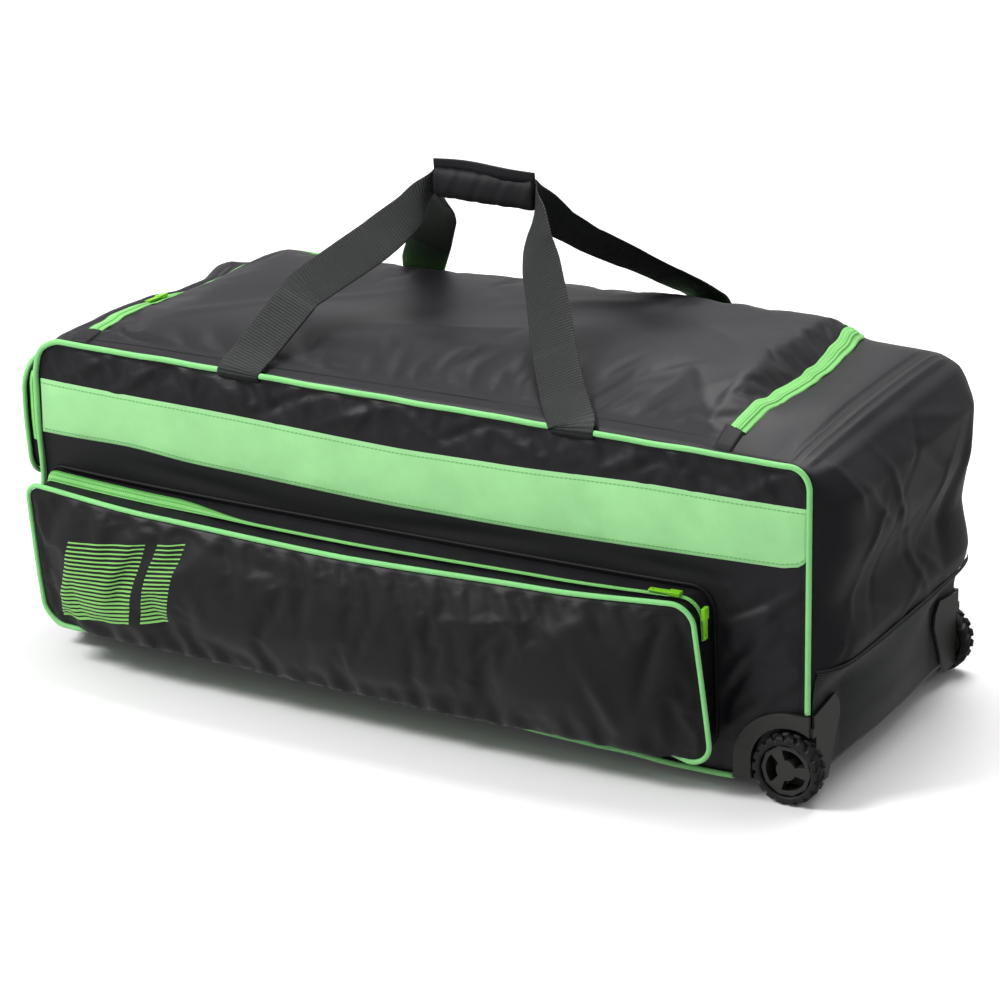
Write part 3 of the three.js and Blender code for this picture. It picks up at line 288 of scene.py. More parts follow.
def surface(
    name: str,
    points: Array,
    uv: Optional[Array] = None,
    around: bool = False,
    keep: Optional[Array] = None,
    inside: Optional[tuple[float, float, float]] = None,
    marks: Optional[dict[str, Array]] = None,
    ends: bool = False,
) -> bpy.types.Object:
    """Makes a mesh object from a grid of bag points.

    Args:
        name: the piece's name.
        points: rows by columns by 3, in mm of the bag's frame.
        uv: the same grid's cloth coordinates in mm, rows by columns (+1 when around) by 2.
        around: whether the last column joins the first.
        keep: a mask of the cells that stay, rows - 1 by columns (- 1 unless around).
        inside: a bag point that the faces turn away from; without it they turn away from the mean of its
            points.
        marks: named values at the points, kept as mesh attributes.
        ends: whether the first and last row are closed with one face each.

    Returns:
        The object, linked to the scene, with its place in its mesh.
    """
    rows, columns = points.shape[:2]
    across = columns if around else columns - 1
    r, c = np.meshgrid(np.arange(rows - 1), np.arange(across), indexing="ij")
    if keep is not None:
        r, c = r[keep], c[keep]
    r, c = r.ravel(), c.ravel()
    following = (c + 1) % columns
    here, above = r * columns, (r + 1) * columns
    quads = np.stack([here + c, here + following, above + following, above + c], 1)
    flat = BAG.place(points.reshape(-1, 3))
    one, two, three = flat[quads[:, 0]], flat[quads[:, 1]], flat[quads[:, 2]]
    four = flat[quads[:, 3]]
    normal = np.cross(three - one, four - two)
    if inside is None:
        away = (one + three) / 2 - flat.mean(0)
    else:
        away = (one + three) / 2 - BAG.place(np.array([inside], float))[0]
    flip = np.einsum("ij,ij->", normal, away) < 0
    corner_uv = None
    if uv is not None:
        cells = [(r, c), (r, c + 1), (r + 1, c + 1), (r + 1, c)]
        corner_uv = np.stack([uv[i, j] for i, j in cells], 1) / 1000
    if flip:
        quads = quads[:, ::-1]
        corner_uv = corner_uv[:, ::-1] if corner_uv is not None else None
    loops = quads.ravel()
    starts = np.arange(0, 4 * len(quads), 4)
    if ends:
        first, last = np.arange(columns), (rows - 1) * columns + np.arange(columns)
        caps = [first, last[::-1]] if flip else [first[::-1], last]
        loops = np.concatenate([loops, *caps])
        starts = np.concatenate([starts, [4 * len(quads), 4 * len(quads) + columns]])
    mesh = bpy.data.meshes.new(name)
    mesh.vertices.add(len(flat))
    mesh.vertices.foreach_set("co", flat.astype(np.float32).ravel())
    mesh.loops.add(len(loops))
    mesh.loops.foreach_set("vertex_index", loops.astype(np.int32))
    mesh.polygons.add(len(starts))
    mesh.polygons.foreach_set("loop_start", starts.astype(np.int32))
    if corner_uv is not None:
        layer = mesh.uv_layers.new(name="cloth")
        filled = np.zeros((len(loops), 2))
        filled[: 4 * len(quads)] = corner_uv.reshape(-1, 2)
        layer.data.foreach_set("uv", filled.astype(np.float32).ravel())
    for key, values in (marks or {}).items():
        mark = mesh.attributes.new(key, "FLOAT", "POINT")
        spread = np.broadcast_to(values, (rows, columns)).astype(np.float32)
        mark.data.foreach_set("value", spread.ravel())
    mesh.update(calc_edges=True)
    mesh.validate()
    mesh.shade_smooth()
    made = bpy.data.objects.new(name, mesh)
    bpy.context.scene.collection.objects.link(made)
    return made


def tube(path: Array, out: Array, radius: float, sides: int, closed: bool) -> tuple[Array, Array]:
    """A round cord along a path: at each point a circle across the path's direction.

    Args:
        path: the path's points in mm.
        out: a direction at each point that the circle starts from.
        radius: the cord's radius in mm.
        sides: points round it.
        closed: whether the path's last point joins the first.

    Returns:
        The grid of its points and of its cloth coordinates.
    """
    if closed:
        path = np.concatenate([path, path[:1]])
        out = np.concatenate([out, out[:1]])
        tangent = np.roll(path[:-1], -1, 0) - np.roll(path[:-1], 1, 0)
        tangent = np.concatenate([tangent, tangent[:1]])
    else:
        tangent = np.gradient(path, axis=0)
    tangent = unit(tangent)
    across = unit(np.cross(out, tangent))
    up = np.cross(tangent, across)
    a = (np.arange(sides) / sides * 2 * math.pi)[None, :, None]
    grid = path[:, None] + radius * (np.cos(a) * up[:, None] + np.sin(a) * across[:, None])
    girth = np.arange(sides + 1) / sides * 2 * math.pi * radius
    return grid, grid_of(run_of(path)[:, None], girth[None])


def strip(path: Array, across: Array, normal: Array, profile: Array) -> tuple[Array, Array]:
    """Carries a flat profile along a path.

    Args:
        path: points in mm.
        across: the unit direction of the profile's width at each point.
        normal: the unit direction of its height at each point.
        profile: pairs of width and height in mm, open or closed, or one such list at each point.

    Returns:
        The grid of points, and its cloth coordinates: length along the path and round the profile.
    """
    profile = np.broadcast_to(profile, (len(path),) + profile.shape[-2:])
    grid = path[:, None] + profile[..., :1] * across[:, None] + profile[..., 1:] * normal[:, None]
    width = np.concatenate([profile[0, :, 0], profile[0, :1, 0]])
    return grid, grid_of(run_of(path)[:, None], width[None])


def settle(
    piece: bpy.types.Object, held: Array, slack: float, pressure: float, cap: float, frames: int = 18
) -> None:
    """Lets sewn cloth with a little spare length pucker between its seams, by cloth simulation.

    Args:
        piece: the cloth's object.
        held: a mask of its points that are sewn down.
        slack: the share by which the cloth is longer than its place.
        pressure: how hard the filling pushes it outwards.
        cap: the furthest that a point may move, in metres.
        frames: the steps of the simulation.
    """
    mesh = piece.data
    rest = np.empty(3 * len(mesh.vertices), np.float32)
    mesh.vertices.foreach_get("co", rest)
    group = piece.vertex_groups.new(name="sewn")
    group.add(np.flatnonzero(held.ravel()).tolist(), 1.0, "REPLACE")
    cloth = piece.modifiers.new("cloth", "CLOTH")
    settings = cloth.settings
    settings.quality = 5
    settings.mass = 0.25
    settings.tension_stiffness = 30
    settings.compression_stiffness = 30
    settings.shear_stiffness = 12
    settings.bending_stiffness = 1.2
    settings.vertex_group_mass = "sewn"
    settings.shrink_min = -slack
    settings.use_pressure = True
    settings.uniform_pressure_force = pressure
    settings.effector_weights.gravity = 0
    cloth.collision_settings.use_collision = False
    cloth.point_cache.frame_start = 1
    cloth.point_cache.frame_end = frames
    for step in range(1, frames + 1):
        bpy.context.scene.frame_set(step)
    moved = np.empty(len(rest), np.float32)
    final = piece.evaluated_get(bpy.context.evaluated_depsgraph_get())
    final.data.vertices.foreach_get("co", moved)
    piece.modifiers.remove(cloth)
    piece.vertex_groups.remove(group)
    bpy.context.scene.frame_set(1)
    shift = (moved - rest).reshape(-1, 3)
    far = np.linalg.norm(shift, axis=1, keepdims=True)
    shift *= cap * np.tanh(far / cap) / np.maximum(far, 1e-9)
    mesh.vertices.foreach_set("co", rest + shift.ravel())
    mesh.update()
    log.info("%s settled, furthest %.1f mm", piece.name, 1000 * float(far.max()))


def add(
    tree: Tree, kind: str, settings: Optional[dict] = None, links: Optional[dict] = None
) -> bpy.types.Node:
    """Adds a node with its settings and its inputs.

    Args:
        tree: the node tree.
        kind: the node's type.
        settings: values of the node's own fields.
        links: for each input, the socket that feeds it or its value.

    Returns:
        The node.
    """
    made = tree.nodes.new(kind)
    for key, value in (settings or {}).items():
        setattr(made, key, value)
    for key, value in (links or {}).items():
        if isinstance(value, Socket):
            tree.links.new(value, made.inputs[key])
        else:
            made.inputs[key].default_value = value
    return made


Step = tuple[object, ...]


def worked_out(tree: Tree, known: dict[str, Socket], steps: Sequence[Step]) -> dict[str, Socket]:
    """Works through a table of sums.

    Args:
        tree: the node tree.
        known: sockets by name.
        steps: rows of a result's name, an operation, and its terms: names of earlier results or numbers.

    Returns:
        The known sockets and the results.
    """
    found = dict(known)
    for name, kind, *terms in steps:
        links = {i: found[term] if isinstance(term, str) else term for i, term in enumerate(terms)}
        found[name] = add(tree, "ShaderNodeMath", {"operation": kind}, links).outputs[0]
    return found


def wave(name: str, source: str, pitch: float) -> tuple[Step, ...]:
    """Rows for a sine from 0 to 1 that repeats every pitch mm of a length in metres."""
    return (
        ("turned", "MULTIPLY", source, 2000 * math.pi / pitch),
        ("sine", "SINE", "turned"),
        (name, "MULTIPLY_ADD", "sine", 0.5, 0.5),
    )


class Look(Enum):
    """How a surface was made."""

    WOVEN = "woven"
    RIBBED = "ribbed"
    CORDED = "corded"
    ZIPPED = "zipped"
    MOULDED = "moulded"


@dataclass(frozen=True)
class Finish:
    """A finish: what the surface is made of, and the real sizes of its pattern in mm.

    Attributes:
        name: its common name.
        look: how the surface was made.
        tint: its sRGB colour.
        shade: the colour in the pattern's hollows, a painted shade.
        roughness: the shader's roughness.
        pitch: the spacing of threads, ribs or grain in mm.
        relief: the depth of the pattern in mm.
        sheen: the soft edge light of fibres.
        gloss: how much it mirrors; 0.5 is a smooth plastic.
        thread: the colour of its stitches.
        stitched: whether it has stitches beside its seams.
        printed: whether it carries the printed stripes.
    """

    name: str
    look: Look
    tint: str
    shade: str
    roughness: float
    pitch: float
    relief: float
    sheen: float = 0.0
    gloss: float = 0.5
    thread: str = "1c1c1e"
    stitched: bool = False
    printed: bool = False

    def material(self) -> bpy.types.Material:
        """The material, made once."""
        found = bpy.data.materials.get(self.name)
        return found if found else self._made()

    def _made(self) -> bpy.types.Material:
        """Builds the node tree: pattern height, colour from it with painted shade in its hollows, large
        mottling, stitches and print.
        """
        made = bpy.data.materials.new(self.name)
        made.use_nodes = True
        tree = made.node_tree
        tree.nodes.clear()
        if self.look is Look.MOULDED:
            place = add(tree, "ShaderNodeTexCoord").outputs["Object"]
        else:
            place = add(tree, "ShaderNodeUVMap", {"uv_map": "cloth"}).outputs["UV"]
        height = self._pattern(tree, place)
        noise = {"Vector": place, "Scale": 14.0, "Detail": 4.0, "Roughness": 0.6}
        mottle = add(tree, "ShaderNodeTexNoise", links=noise).outputs["Fac"]
        # Painted shade: the pattern's low places take the darker shade colour and its crests the tint
        mix = {"Factor": height, "A": linear(self.shade), "B": linear(self.tint)}
        colour = add(tree, "ShaderNodeMix", {"data_type": "RGBA"}, mix).outputs["Result"]
        # Cloth and moulded faces are never quite even: a slow change of tone over some 70 mm
        spread = {"Value": mottle, "To Min": 0.8, "To Max": 1.2}
        tone = add(tree, "ShaderNodeMapRange", links=spread).outputs["Result"]
        product = {"data_type": "RGBA", "blend_type": "MULTIPLY"}
        mix = {"Factor": 1.0, "A": colour, "B": tone}
        colour = add(tree, "ShaderNodeMix", product, mix).outputs["Result"]
        if self.printed:
            colour = self._print(tree, colour)
        if self.stitched:
            colour, height = self._stitches(tree, colour, height)
        spread = {"Value": mottle, "To Min": self.roughness - 0.06, "To Max": self.roughness + 0.06}
        rough = add(tree, "ShaderNodeMapRange", links=spread).outputs["Result"]
        relief = {"Height": height, "Distance": self.relief / 1000, "Strength": 1.0}
        bump = add(tree, "ShaderNodeBump", links=relief).outputs["Normal"]
        surface_values = {
            "Base Color": colour, "Roughness": rough, "Normal": bump,
            "Sheen Weight": self.sheen, "Sheen Roughness": 0.4, "Specular IOR Level": self.gloss,
        }
        shader = add(tree, "ShaderNodeBsdfPrincipled", links=surface_values)
        add(tree, "ShaderNodeOutputMaterial", links={"Surface": shader.outputs["BSDF"]})
        return made

    def _pattern(self, tree: Tree, place: Socket) -> Socket:
        """The height of the weave, ribs, cord turns, zip teeth or grain, from 0 to 1."""
        if self.look is Look.MOULDED:
            grain = {"Vector": place, "Scale": 1000 / self.pitch, "Detail": 2.0}
            return add(tree, "ShaderNodeTexNoise", links=grain).outputs["Fac"]
        parts = add(tree, "ShaderNodeSeparateXYZ", links={"Vector": place})
        steps = {
            # Plain weave: warp and weft waves multiplied, so that threads pass over and under
            Look.WOVEN: (
                *wave("warp", "u", self.pitch),
                *wave("weft", "v", self.pitch),
                ("height", "MULTIPLY", "warp", "weft"),
            ),
            # Ribs across the length, broken up finely along the rib by the warp threads
            Look.RIBBED: (
                *wave("ribs", "u", self.pitch),
                *wave("warp", "v", self.pitch * 0.6),
                ("fine", "MULTIPLY", "warp", 0.35),
                ("height", "MULTIPLY_ADD", "ribs", 0.65, "fine"),
            ),
            # Cloth cut on the bias and drawn round a cord: fine slanting threads
            Look.CORDED: (("slant", "ADD", "u", "v"), *wave("height", "slant", self.pitch)),
            # A zip: coil turns within 3.2 mm of the middle of the tape, a fine weave beside them, and a
            # painted shade line on each side of the coil, where the tape folds under it, and one where its
            # halves meet
            Look.ZIPPED: (
                ("middle", "COMPARE", "v", 0.0, 0.0032),
                *wave("turns", "u", self.pitch),
                ("coil", "MULTIPLY", "turns", "middle"),
                *wave("warp", "u", 1.3),
                *wave("weft", "v", 1.3),
                ("weave", "MULTIPLY", "warp", "weft"),
                ("beside", "SUBTRACT", 1.0, "middle"),
                ("tape", "MULTIPLY", "weave", "beside"),
                ("pale", "MULTIPLY_ADD", "tape", 0.5, 0.5),
                ("whole", "ADD", "coil", "pale"),
                # Painted shade: these dark lines lower the height, which darkens the colour as well as the
                # bump
                ("off", "ABSOLUTE", "v"),
                ("gap", "COMPARE", "off", 0.003, 0.0006),
                ("split", "COMPARE", "v", 0.0, 0.0004),
                ("line", "MAXIMUM", "gap", "split"),
                ("dark", "MULTIPLY", "line", 2.2),
                ("height", "SUBTRACT", "whole", "dark"),
            ),
        }
        known = {"u": parts.outputs["X"], "v": parts.outputs["Y"]}
        return worked_out(tree, known, steps[self.look])["height"]

    def _stitches(self, tree: Tree, colour: Socket, height: Socket) -> tuple[Socket, Socket]:
        """Adds a row of stitches where the mark seam is zero, 5 mm apart with gaps of 1.1 mm.

        Args:
            tree: the node tree.
            colour: the colour so far.
            height: the height so far.

        Returns:
            The colour and the height with the stitches.
        """
        known = {
            name: add(tree, "ShaderNodeAttribute", {"attribute_name": name}).outputs["Fac"]
            for name in ("seam", "run")
        }
        steps = (
            ("off", "ABSOLUTE", "seam"),
            ("row", "LESS_THAN", "off", 0.7),
            ("number", "DIVIDE", "run", 5.0),
            ("cut", "FRACT", "number"),
            ("long", "LESS_THAN", "cut", 0.78),
            ("dash", "MULTIPLY", "row", "long"),
            # The cloth is drawn in beside the row, and the thread stands on it
            ("near", "LESS_THAN", "off", 1.6),
            ("dip", "MULTIPLY", "near", 1.2),
            ("lower", "SUBTRACT", "height", "dip"),
            ("thread", "MULTIPLY", "dash", 1.5),
            ("stitched", "ADD", "lower", "thread"),
        )
        found = worked_out(tree, {**known, "height": height}, steps)
        mix = {"Factor": found["dash"], "A": colour, "B": linear(self.thread)}
        return add(tree, "ShaderNodeMix", {"data_type": "RGBA"}, mix).outputs["Result"], found["stitched"]

    def _print(self, tree: Tree, colour: Socket) -> Socket:
        """Prints two leaning blocks of straight stripes, 5.6 mm apart and thinner towards the top.

        The mark high is the cloth's height above its foot, and lean its length less 0.3 of that height.

        Args:
            tree: the node tree.
            colour: the colour so far.

        Returns:
            The colour with the print.
        """
        known = {
            name: add(tree, "ShaderNodeAttribute", {"attribute_name": name}).outputs["Fac"]
            for name in ("high", "lean")
        }
        steps = (
            # Blocks: 92 mm wide about 66 mm and 32 mm wide about 142 mm, both of twenty whole stripes
            ("first", "COMPARE", "lean", 66.0, 46.0),
            ("second", "COMPARE", "lean", 142.0, 16.0),
            ("slope", "MULTIPLY", "lean", 0.22),
            ("climb", "SUBTRACT", "high", "slope"),
            ("rows", "COMPARE", "climb", 67.2, 56.0),
            ("blocks", "MAXIMUM", "first", "second"),
            ("block", "MULTIPLY", "blocks", "rows"),
            ("number", "DIVIDE", "climb", 5.6),
            ("part", "FRACT", "number"),
            ("thin", "MULTIPLY", "high", 0.0024),
            ("share", "SUBTRACT", 0.66, "thin"),
            ("line", "LESS_THAN", "part", "share"),
            ("inked", "MULTIPLY", "line", "block"),
        )
        mix = {"Factor": worked_out(tree, known, steps)["inked"], "A": colour, "B": linear(PRINT_GREEN)}
        return add(tree, "ShaderNodeMix", {"data_type": "RGBA"}, mix).outputs["Result"]


PRINT_GREEN = "79b95c"
BLACK_THREAD = "060607"
# 600-denier polyester, plain woven and coated on its back: dark threads with a faint violet sheen
POLYESTER = Finish(
    "coated_polyester", Look.WOVEN, tint="1d1a22", shade="0d0b0f", roughness=0.46, pitch=0.8, relief=0.06,
    sheen=0.02, gloss=0.3, thread=BLACK_THREAD, stitched=True,
)
PRINTED_POLYESTER = Finish(
    "printed_polyester", Look.WOVEN, tint="19181b", shade="0a0a0b", roughness=0.46, pitch=0.8, relief=0.06,
    sheen=0.02, gloss=0.3, thread=BLACK_THREAD, stitched=True, printed=True,
)
# Smooth nylon lining cloth, plain and matt, on the grip and the small tabs
NYLON = Finish(
    "nylon_cloth", Look.WOVEN, tint="1b191f", shade="0e0d10", roughness=0.56, pitch=0.7, relief=0.06,
    sheen=0.02, gloss=0.26, thread=BLACK_THREAD, stitched=True,
)
# The same cloth dyed lime, sewn in as a band
# Its stitches are a darker lime: partly the thread's own colour, partly painted shade of the groove they sink
# into
LIME_CLOTH = Finish(
    "lime_polyester", Look.WOVEN, tint="9cd394", shade="8cc686", roughness=0.6, pitch=0.8, relief=0.06,
    sheen=0.05, gloss=0.2, thread="62a860", stitched=True,
)
# Bias cloth drawn round a cord
LIME_CORD = Finish(
    "lime_piping", Look.CORDED, tint="88d084", shade="70ba6c", roughness=0.5, pitch=1.4, relief=0.12,
    sheen=0.05, gloss=0.25,
)
# Woven polyester tape with a coil of nylon sewn to it; turns are 1.6 mm apart, drawn at 2.4 mm
LIME_ZIP = Finish(
    "lime_zip_tape", Look.ZIPPED, tint="88cf78", shade="5cab50", roughness=0.5, pitch=2.4, relief=0.5,
    sheen=0.05, gloss=0.25,
)
# Polypropylene webbing: flat crosswise ribs 3.2 mm apart
WEBBING = Finish(
    "ribbed_webbing", Look.RIBBED, tint="212424", shade="040505", roughness=0.5, pitch=3.2, relief=0.8,
    sheen=0.02, gloss=0.36,
)
# Ballistic nylon, a heavy ribbed weave that takes the scraping
SKID_CLOTH = Finish(
    "ballistic_nylon", Look.RIBBED, tint="2a2c2f", shade="090a0b", roughness=0.55, pitch=3.0, relief=0.6,
    sheen=0.02, gloss=0.34, thread="040405", stitched=True,
)
# Injection-moulded polypropylene with a spark-eroded grain
MOULDED = Finish(
    "moulded_polypropylene", Look.MOULDED, tint="2e2e2b", shade="1e1e1c", roughness=0.44, pitch=0.9,
    relief=0.06, sheen=0.0, gloss=0.36,
)
# Moulded thermoplastic rubber
RUBBER = Finish(
    "tread_rubber", Look.MOULDED, tint="161618", shade="0a0a0b", roughness=0.56, pitch=1.4, relief=0.1,
    sheen=0.0, gloss=0.32,
)
# Moulded rubbery pulls in a bright yellow-green
PULL = Finish(
    "neon_pull_rubber", Look.MOULDED, tint="8ad526", shade="6cb818", roughness=0.34, pitch=0.8, relief=0.05,
    sheen=0.0, gloss=0.4,
)


def dress(
    piece: bpy.types.Object, finish: Finish, body: str = "bag", stands_for: Sequence[str] = ()
) -> None:
    """Gives a piece its material, its body and the solids that it stands for.

    Args:
        piece: the piece.
        finish: its finish.
        body: the body that it rides on.
        stands_for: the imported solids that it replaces.
    """
    piece.data.materials.clear()
    piece.data.materials.append(finish.material())
    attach(piece, body)
    if stands_for:
        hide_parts(*stands_for)
    log.info("%s: %d faces, %s", piece.name, len(piece.data.polygons), finish.name)


@dataclass
class MainBox:
    """The padded fabric box: its sizes in mm, the shape functions of its faces, and its cloth."""

    length: float = 900.0
    depth: float = 371.0
    height: float = 352.0
    top_radius: float = 24.0
    base_radius: float = 14.0
    seam_inset: float = 3.5
    seam_step: float = 4.5
    crown_height: float = 46.0
    slump: float = 32.0
    right_swell: float = 36.0
    left_swell: float = 13.0
    base_lift: float = 21.0
    front_bulge: float = 14.0
    back_bulge: float = 10.0
    end_seam: float = 427.0
    crown: Rows = (
        (-1, 0), (-0.9, 0.2), (-0.72, 0.42), (-0.44, 0.5), (-0.1, 0.7), (0.28, 0.93),
        (0.5, 1), (0.72, 1), (0.8, 0.55), (0.9, 0.4), (0.97, 0.2), (1, 0),
    )
    base: Rows = ((-1, 1), (-0.5, 0.85), (0, 0.6), (0.5, 0.2), (0.68, 0), (1, 0))
    drop: Rows = ((-1, 0), (-0.5, 0.12), (0, 0.45), (0.4, 0.85), (0.75, 1), (1, 0.7))
    ends: Rows = (
        (0, 0.05), (0.15, 0.35), (0.35, 0.75), (0.43, 0.85), (0.56, 0.5),
        (0.74, 0.9), (0.88, 0.95), (0.97, 0.45), (1, 0),
    )
    # The last four lie along the zip: it sinks at the right, back and left, and humps near the front
    top_folds: tuple[Fold, ...] = (
        Fold(-247, -18, 35, 186, 48, -6), Fold(-112, -83, -20, 204, 45, 5.5), Fold(45, 18, 12, 297, 52, -4.6),
        Fold(171, -56, -38, 186, 45, 4.6), Fold(247, 65, 25, 167, 45, -4.6),
        Fold(364, 30, 90, 170, 24, -11), Fold(360, -110, 90, 32, 24, 5), Fold(-60, 176, 0, 620, 18, -18),
        Fold(-408, 40, 90, 120, 13, -9),
    )
    lid_creases: tuple[Fold, ...] = (
        Fold(-60, -110, 8, 130, 12, 3.0), Fold(-20, -60, 14, 120, 10, 2.6), Fold(-190, 10, 30, 90, 11, 2.6),
        Fold(150, -115, -12, 120, 10, 2.8), Fold(230, -60, -32, 90, 9, 2.6), Fold(260, 10, -40, 80, 9, 2.4),
        Fold(90, 60, 16, 130, 12, 2.6), Fold(-300, -70, 42, 80, 10, 2.4), Fold(10, 120, 6, 150, 12, -2.6),
        Fold(200, 110, -10, 110, 11, 2.4), Fold(-130, -130, -8, 90, 9, -2.2),
        Fold(300, -120, -55, 70, 9, 2.6),
    )
    end_creases: tuple[Fold, ...] = (
        Fold(-95, 290, -44, 70, 6, 2.4), Fold(-34, 262, -66, 90, 6, 2.6), Fold(50, 290, -32, 80, 7, -2.2),
        Fold(110, 215, 68, 80, 14, -4.5), Fold(-125, 200, 58, 100, 7, 2.2), Fold(20, 190, -64, 80, 7, 2.2),
        Fold(150, 260, 80, 70, 12, 3.0), Fold(-70, 170, -20, 80, 7, -1.8), Fold(80, 325, -14, 90, 6, 1.8),
        Fold(-60, 225, 62, 90, 6, -1.8), Fold(70, 240, 48, 70, 6, 1.8), Fold(-140, 320, -62, 50, 6, 2.2),
        Fold(-10, 140, 30, 90, 6, 1.6), Fold(-150, 150, 70, 50, 6, -1.8), Fold(10, 318, 44, 50, 5, -1.6),
        Fold(-100, 250, 50, 50, 5, 1.8), Fold(0, 230, 20, 40, 5, -1.4), Fold(60, 170, -40, 60, 6, 1.6),
    )
    front_creases: tuple[Fold, ...] = (
        Fold(-250, 225, -4, 120, 8, -2.4), Fold(60, 222, 3, 160, 8, -2.4), Fold(300, 224, -3, 90, 8, -2.2),
        Fold(395, 150, 52, 70, 9, 3.4), Fold(372, 110, 60, 60, 8, -2.8), Fold(415, 200, 40, 45, 8, 2.6),
        Fold(398, 90, 40, 50, 8, 2.4), Fold(380, 190, 30, 60, 8, -2.4),
        Fold(-390, 330, 28, 50, 7, 3.4), Fold(-330, 326, 34, 44, 6, 3.4), Fold(-215, 330, -24, 60, 7, 3.4),
        Fold(-150, 328, 26, 54, 6, -3.4), Fold(-60, 330, 20, 60, 6, 3.6), Fold(10, 327, -30, 44, 6, 3.4),
        Fold(64, 331, 24, 50, 6, -3.4), Fold(120, 328, -20, 50, 6, 3.4), Fold(250, 330, 22, 60, 7, 3.0),
        Fold(330, 328, -18, 60, 7, -3.0), Fold(400, 326, 30, 40, 7, 3.0),
    )

    @property
    def tab_share(self) -> float:
        """The share of half the depth at which the end tabs of the housings begin."""
        return 1 - 64.0 / (self.depth / 2)

    def loop(self, step: float) -> Loop:
        """The box's outline seen from the front."""
        radii = (self.base_radius, self.base_radius, self.top_radius, self.top_radius)
        return rounded_loop(self.length, self.height, radii, step)

    def top_rise(self, x: Array, t: Array) -> Array:
        """The crown across and along, less the left end's slump, plus the soft folds."""
        share = x / (self.length / 2)
        power = np.where(t < 0, 3.0, 6.0)
        across = 1 - np.abs(t) ** power
        crown = self.crown_height * along(self.crown, share) * across
        slump = self.slump * soft((-share - 0.74) / 0.2) * along(self.drop, t)
        folds = folded(self.top_folds, x, t * self.depth / 2)
        return crown - slump + folds * across * (1 - np.abs(share) ** 6)

    def end_out(self, x: Array, z: Array, t: Array) -> Array:
        """The swell of an end: the table over the height times the hold across the depth."""
        hold = np.where(t > 0, 0.55, 1.0)
        free = 1 - hold * np.abs(t) ** 9
        held = np.maximum(0, 1 - np.square(t / (self.tab_share - 0.03)))
        right = held + (free - held) * soft(2 * (z - 92) / 92)
        across = np.where(x > 0, right, 1 - 0.2 * t * t)
        swell = np.where(x > 0, self.right_swell, self.left_swell)
        return swell * along(self.ends, z / self.height) * across

    def front_y(self, x: Array, z: Array) -> Array:
        """The front panel: half the depth plus one soft bulge."""
        share = np.minimum(1, np.abs(x) / (self.length / 2))
        h = np.clip(z / self.height, 0, 1)
        return -self.depth / 2 - self.front_bulge * (1 - share**4) * np.sin(math.pi * h**1.6)

    def back_y(self, x: Array, z: Array) -> Array:
        """The back panel: half the depth plus one soft bulge."""
        share = np.minimum(1, np.abs(x) / (self.length / 2))
        h = np.clip(z / self.height, 0, 1)
        return self.depth / 2 + self.back_bulge * (1 - share**4) * np.sin(math.pi * h)

    def top_z(self, x: Array, y: Array) -> Array:
        """The height of the top at a place."""
        return self.height + self.top_rise(x, y / (self.depth / 2))

    def side_point(self, loop: Loop, t: Array, inset: Array) -> Array:
        """Points of the wrap: the outline moved in by inset, raised by the crown, pushed out by the swell.

        Args:
            loop: the outline.
            t: shares of half the depth, as a column.
            inset: how far the seam lies in, as a column.

        Returns:
            The grid of points.
        """
        u, v = loop.u[None], loop.v[None]
        x = u - inset * loop.nu[None]
        z = v - inset * loop.nv[None]
        top = soft(1 - (self.height - v) / 70)
        end = soft(1 - (self.length / 2 - np.abs(u)) / 90)
        low = soft(1 - v / 60) * soft((np.abs(t) - 0.72) / 0.28)
        rise = top * self.top_rise(u, t) + self.base_lift * along(self.base, u / (self.length / 2)) * low
        out = np.sign(u) * end * self.end_out(u, v, t)
        y = np.broadcast_to(t * self.depth / 2, x.shape)
        return np.stack([x + out, y, z + rise], -1)

    def wheel_corner(self, x: Array, y: Array, z: Array, grow: float) -> Array:
        """Which places lie in the corners that the wheel housings take."""
        radius = 46.1 + grow
        near = np.hypot(x - BAG.wheel_x, z - BAG.wheel_z) < radius
        beyond = (x > BAG.wheel_x) & (z < BAG.wheel_z + radius)
        below = (np.abs(x - BAG.wheel_x) < radius) & (z < BAG.wheel_z)
        return (np.abs(y) > 178.2 - grow) & (near | beyond | below)

    def build(self, lid: "Lid") -> None:
        """Builds the wrap of top, ends and base, the front panel and the back panel."""
        self._wrap(lid)
        self._panel("front_panel", -1)
        self._panel("back_panel", 1)

    def _wrap(self, lid: "Lid") -> None:
        """The wrap: outline by depth, with its end creases and the lapped seam across each end of the top."""
        loop = self.loop(2.8)
        edge = np.array([1.0, 0.995, 0.985, 0.976])
        t = np.concatenate([-edge, np.linspace(-0.96, 0.96, 84), edge[::-1]])[:, None]
        inset = self.seam_inset * (1 - soft((1 - np.abs(t)) * self.depth / 2 / self.seam_step))
        points = self.side_point(loop, t, inset)
        x, y, z = points[..., 0], points[..., 1], points[..., 2]
        free = soft((0.975 - np.abs(t)) / 0.12)
        right = soft((loop.nu[None] - 0.3) / 0.5) * soft((z - 95) / 50) * free
        lift = folded(self.end_creases, y, z) * right
        left = soft((-loop.nu[None] - 0.3) / 0.5) * free
        lift += left * (folded(self.end_creases, -y, z) * 0.5)
        top = soft((loop.nv[None] - 0.6) / 0.3) * free
        lift += top * folded(self.lid_creases, x, y) * 0.6
        slow = ripple(x - 0.6 * y + 0.9 * z, ((173, 0.4, 0.6), (109, 2.1, 0.5)))
        lift += free * (loop.nv[None] > -0.5) * slow * (1 + ripple(y + 0.3 * z, ((211, 1.0, 0.8),)))
        over = np.where(loop.nv > 0.4, np.abs(loop.u) - self.end_seam, 60.0)[None]
        lap = soft((over + 1) / 2) * (1 - soft((over - 11) / 3))
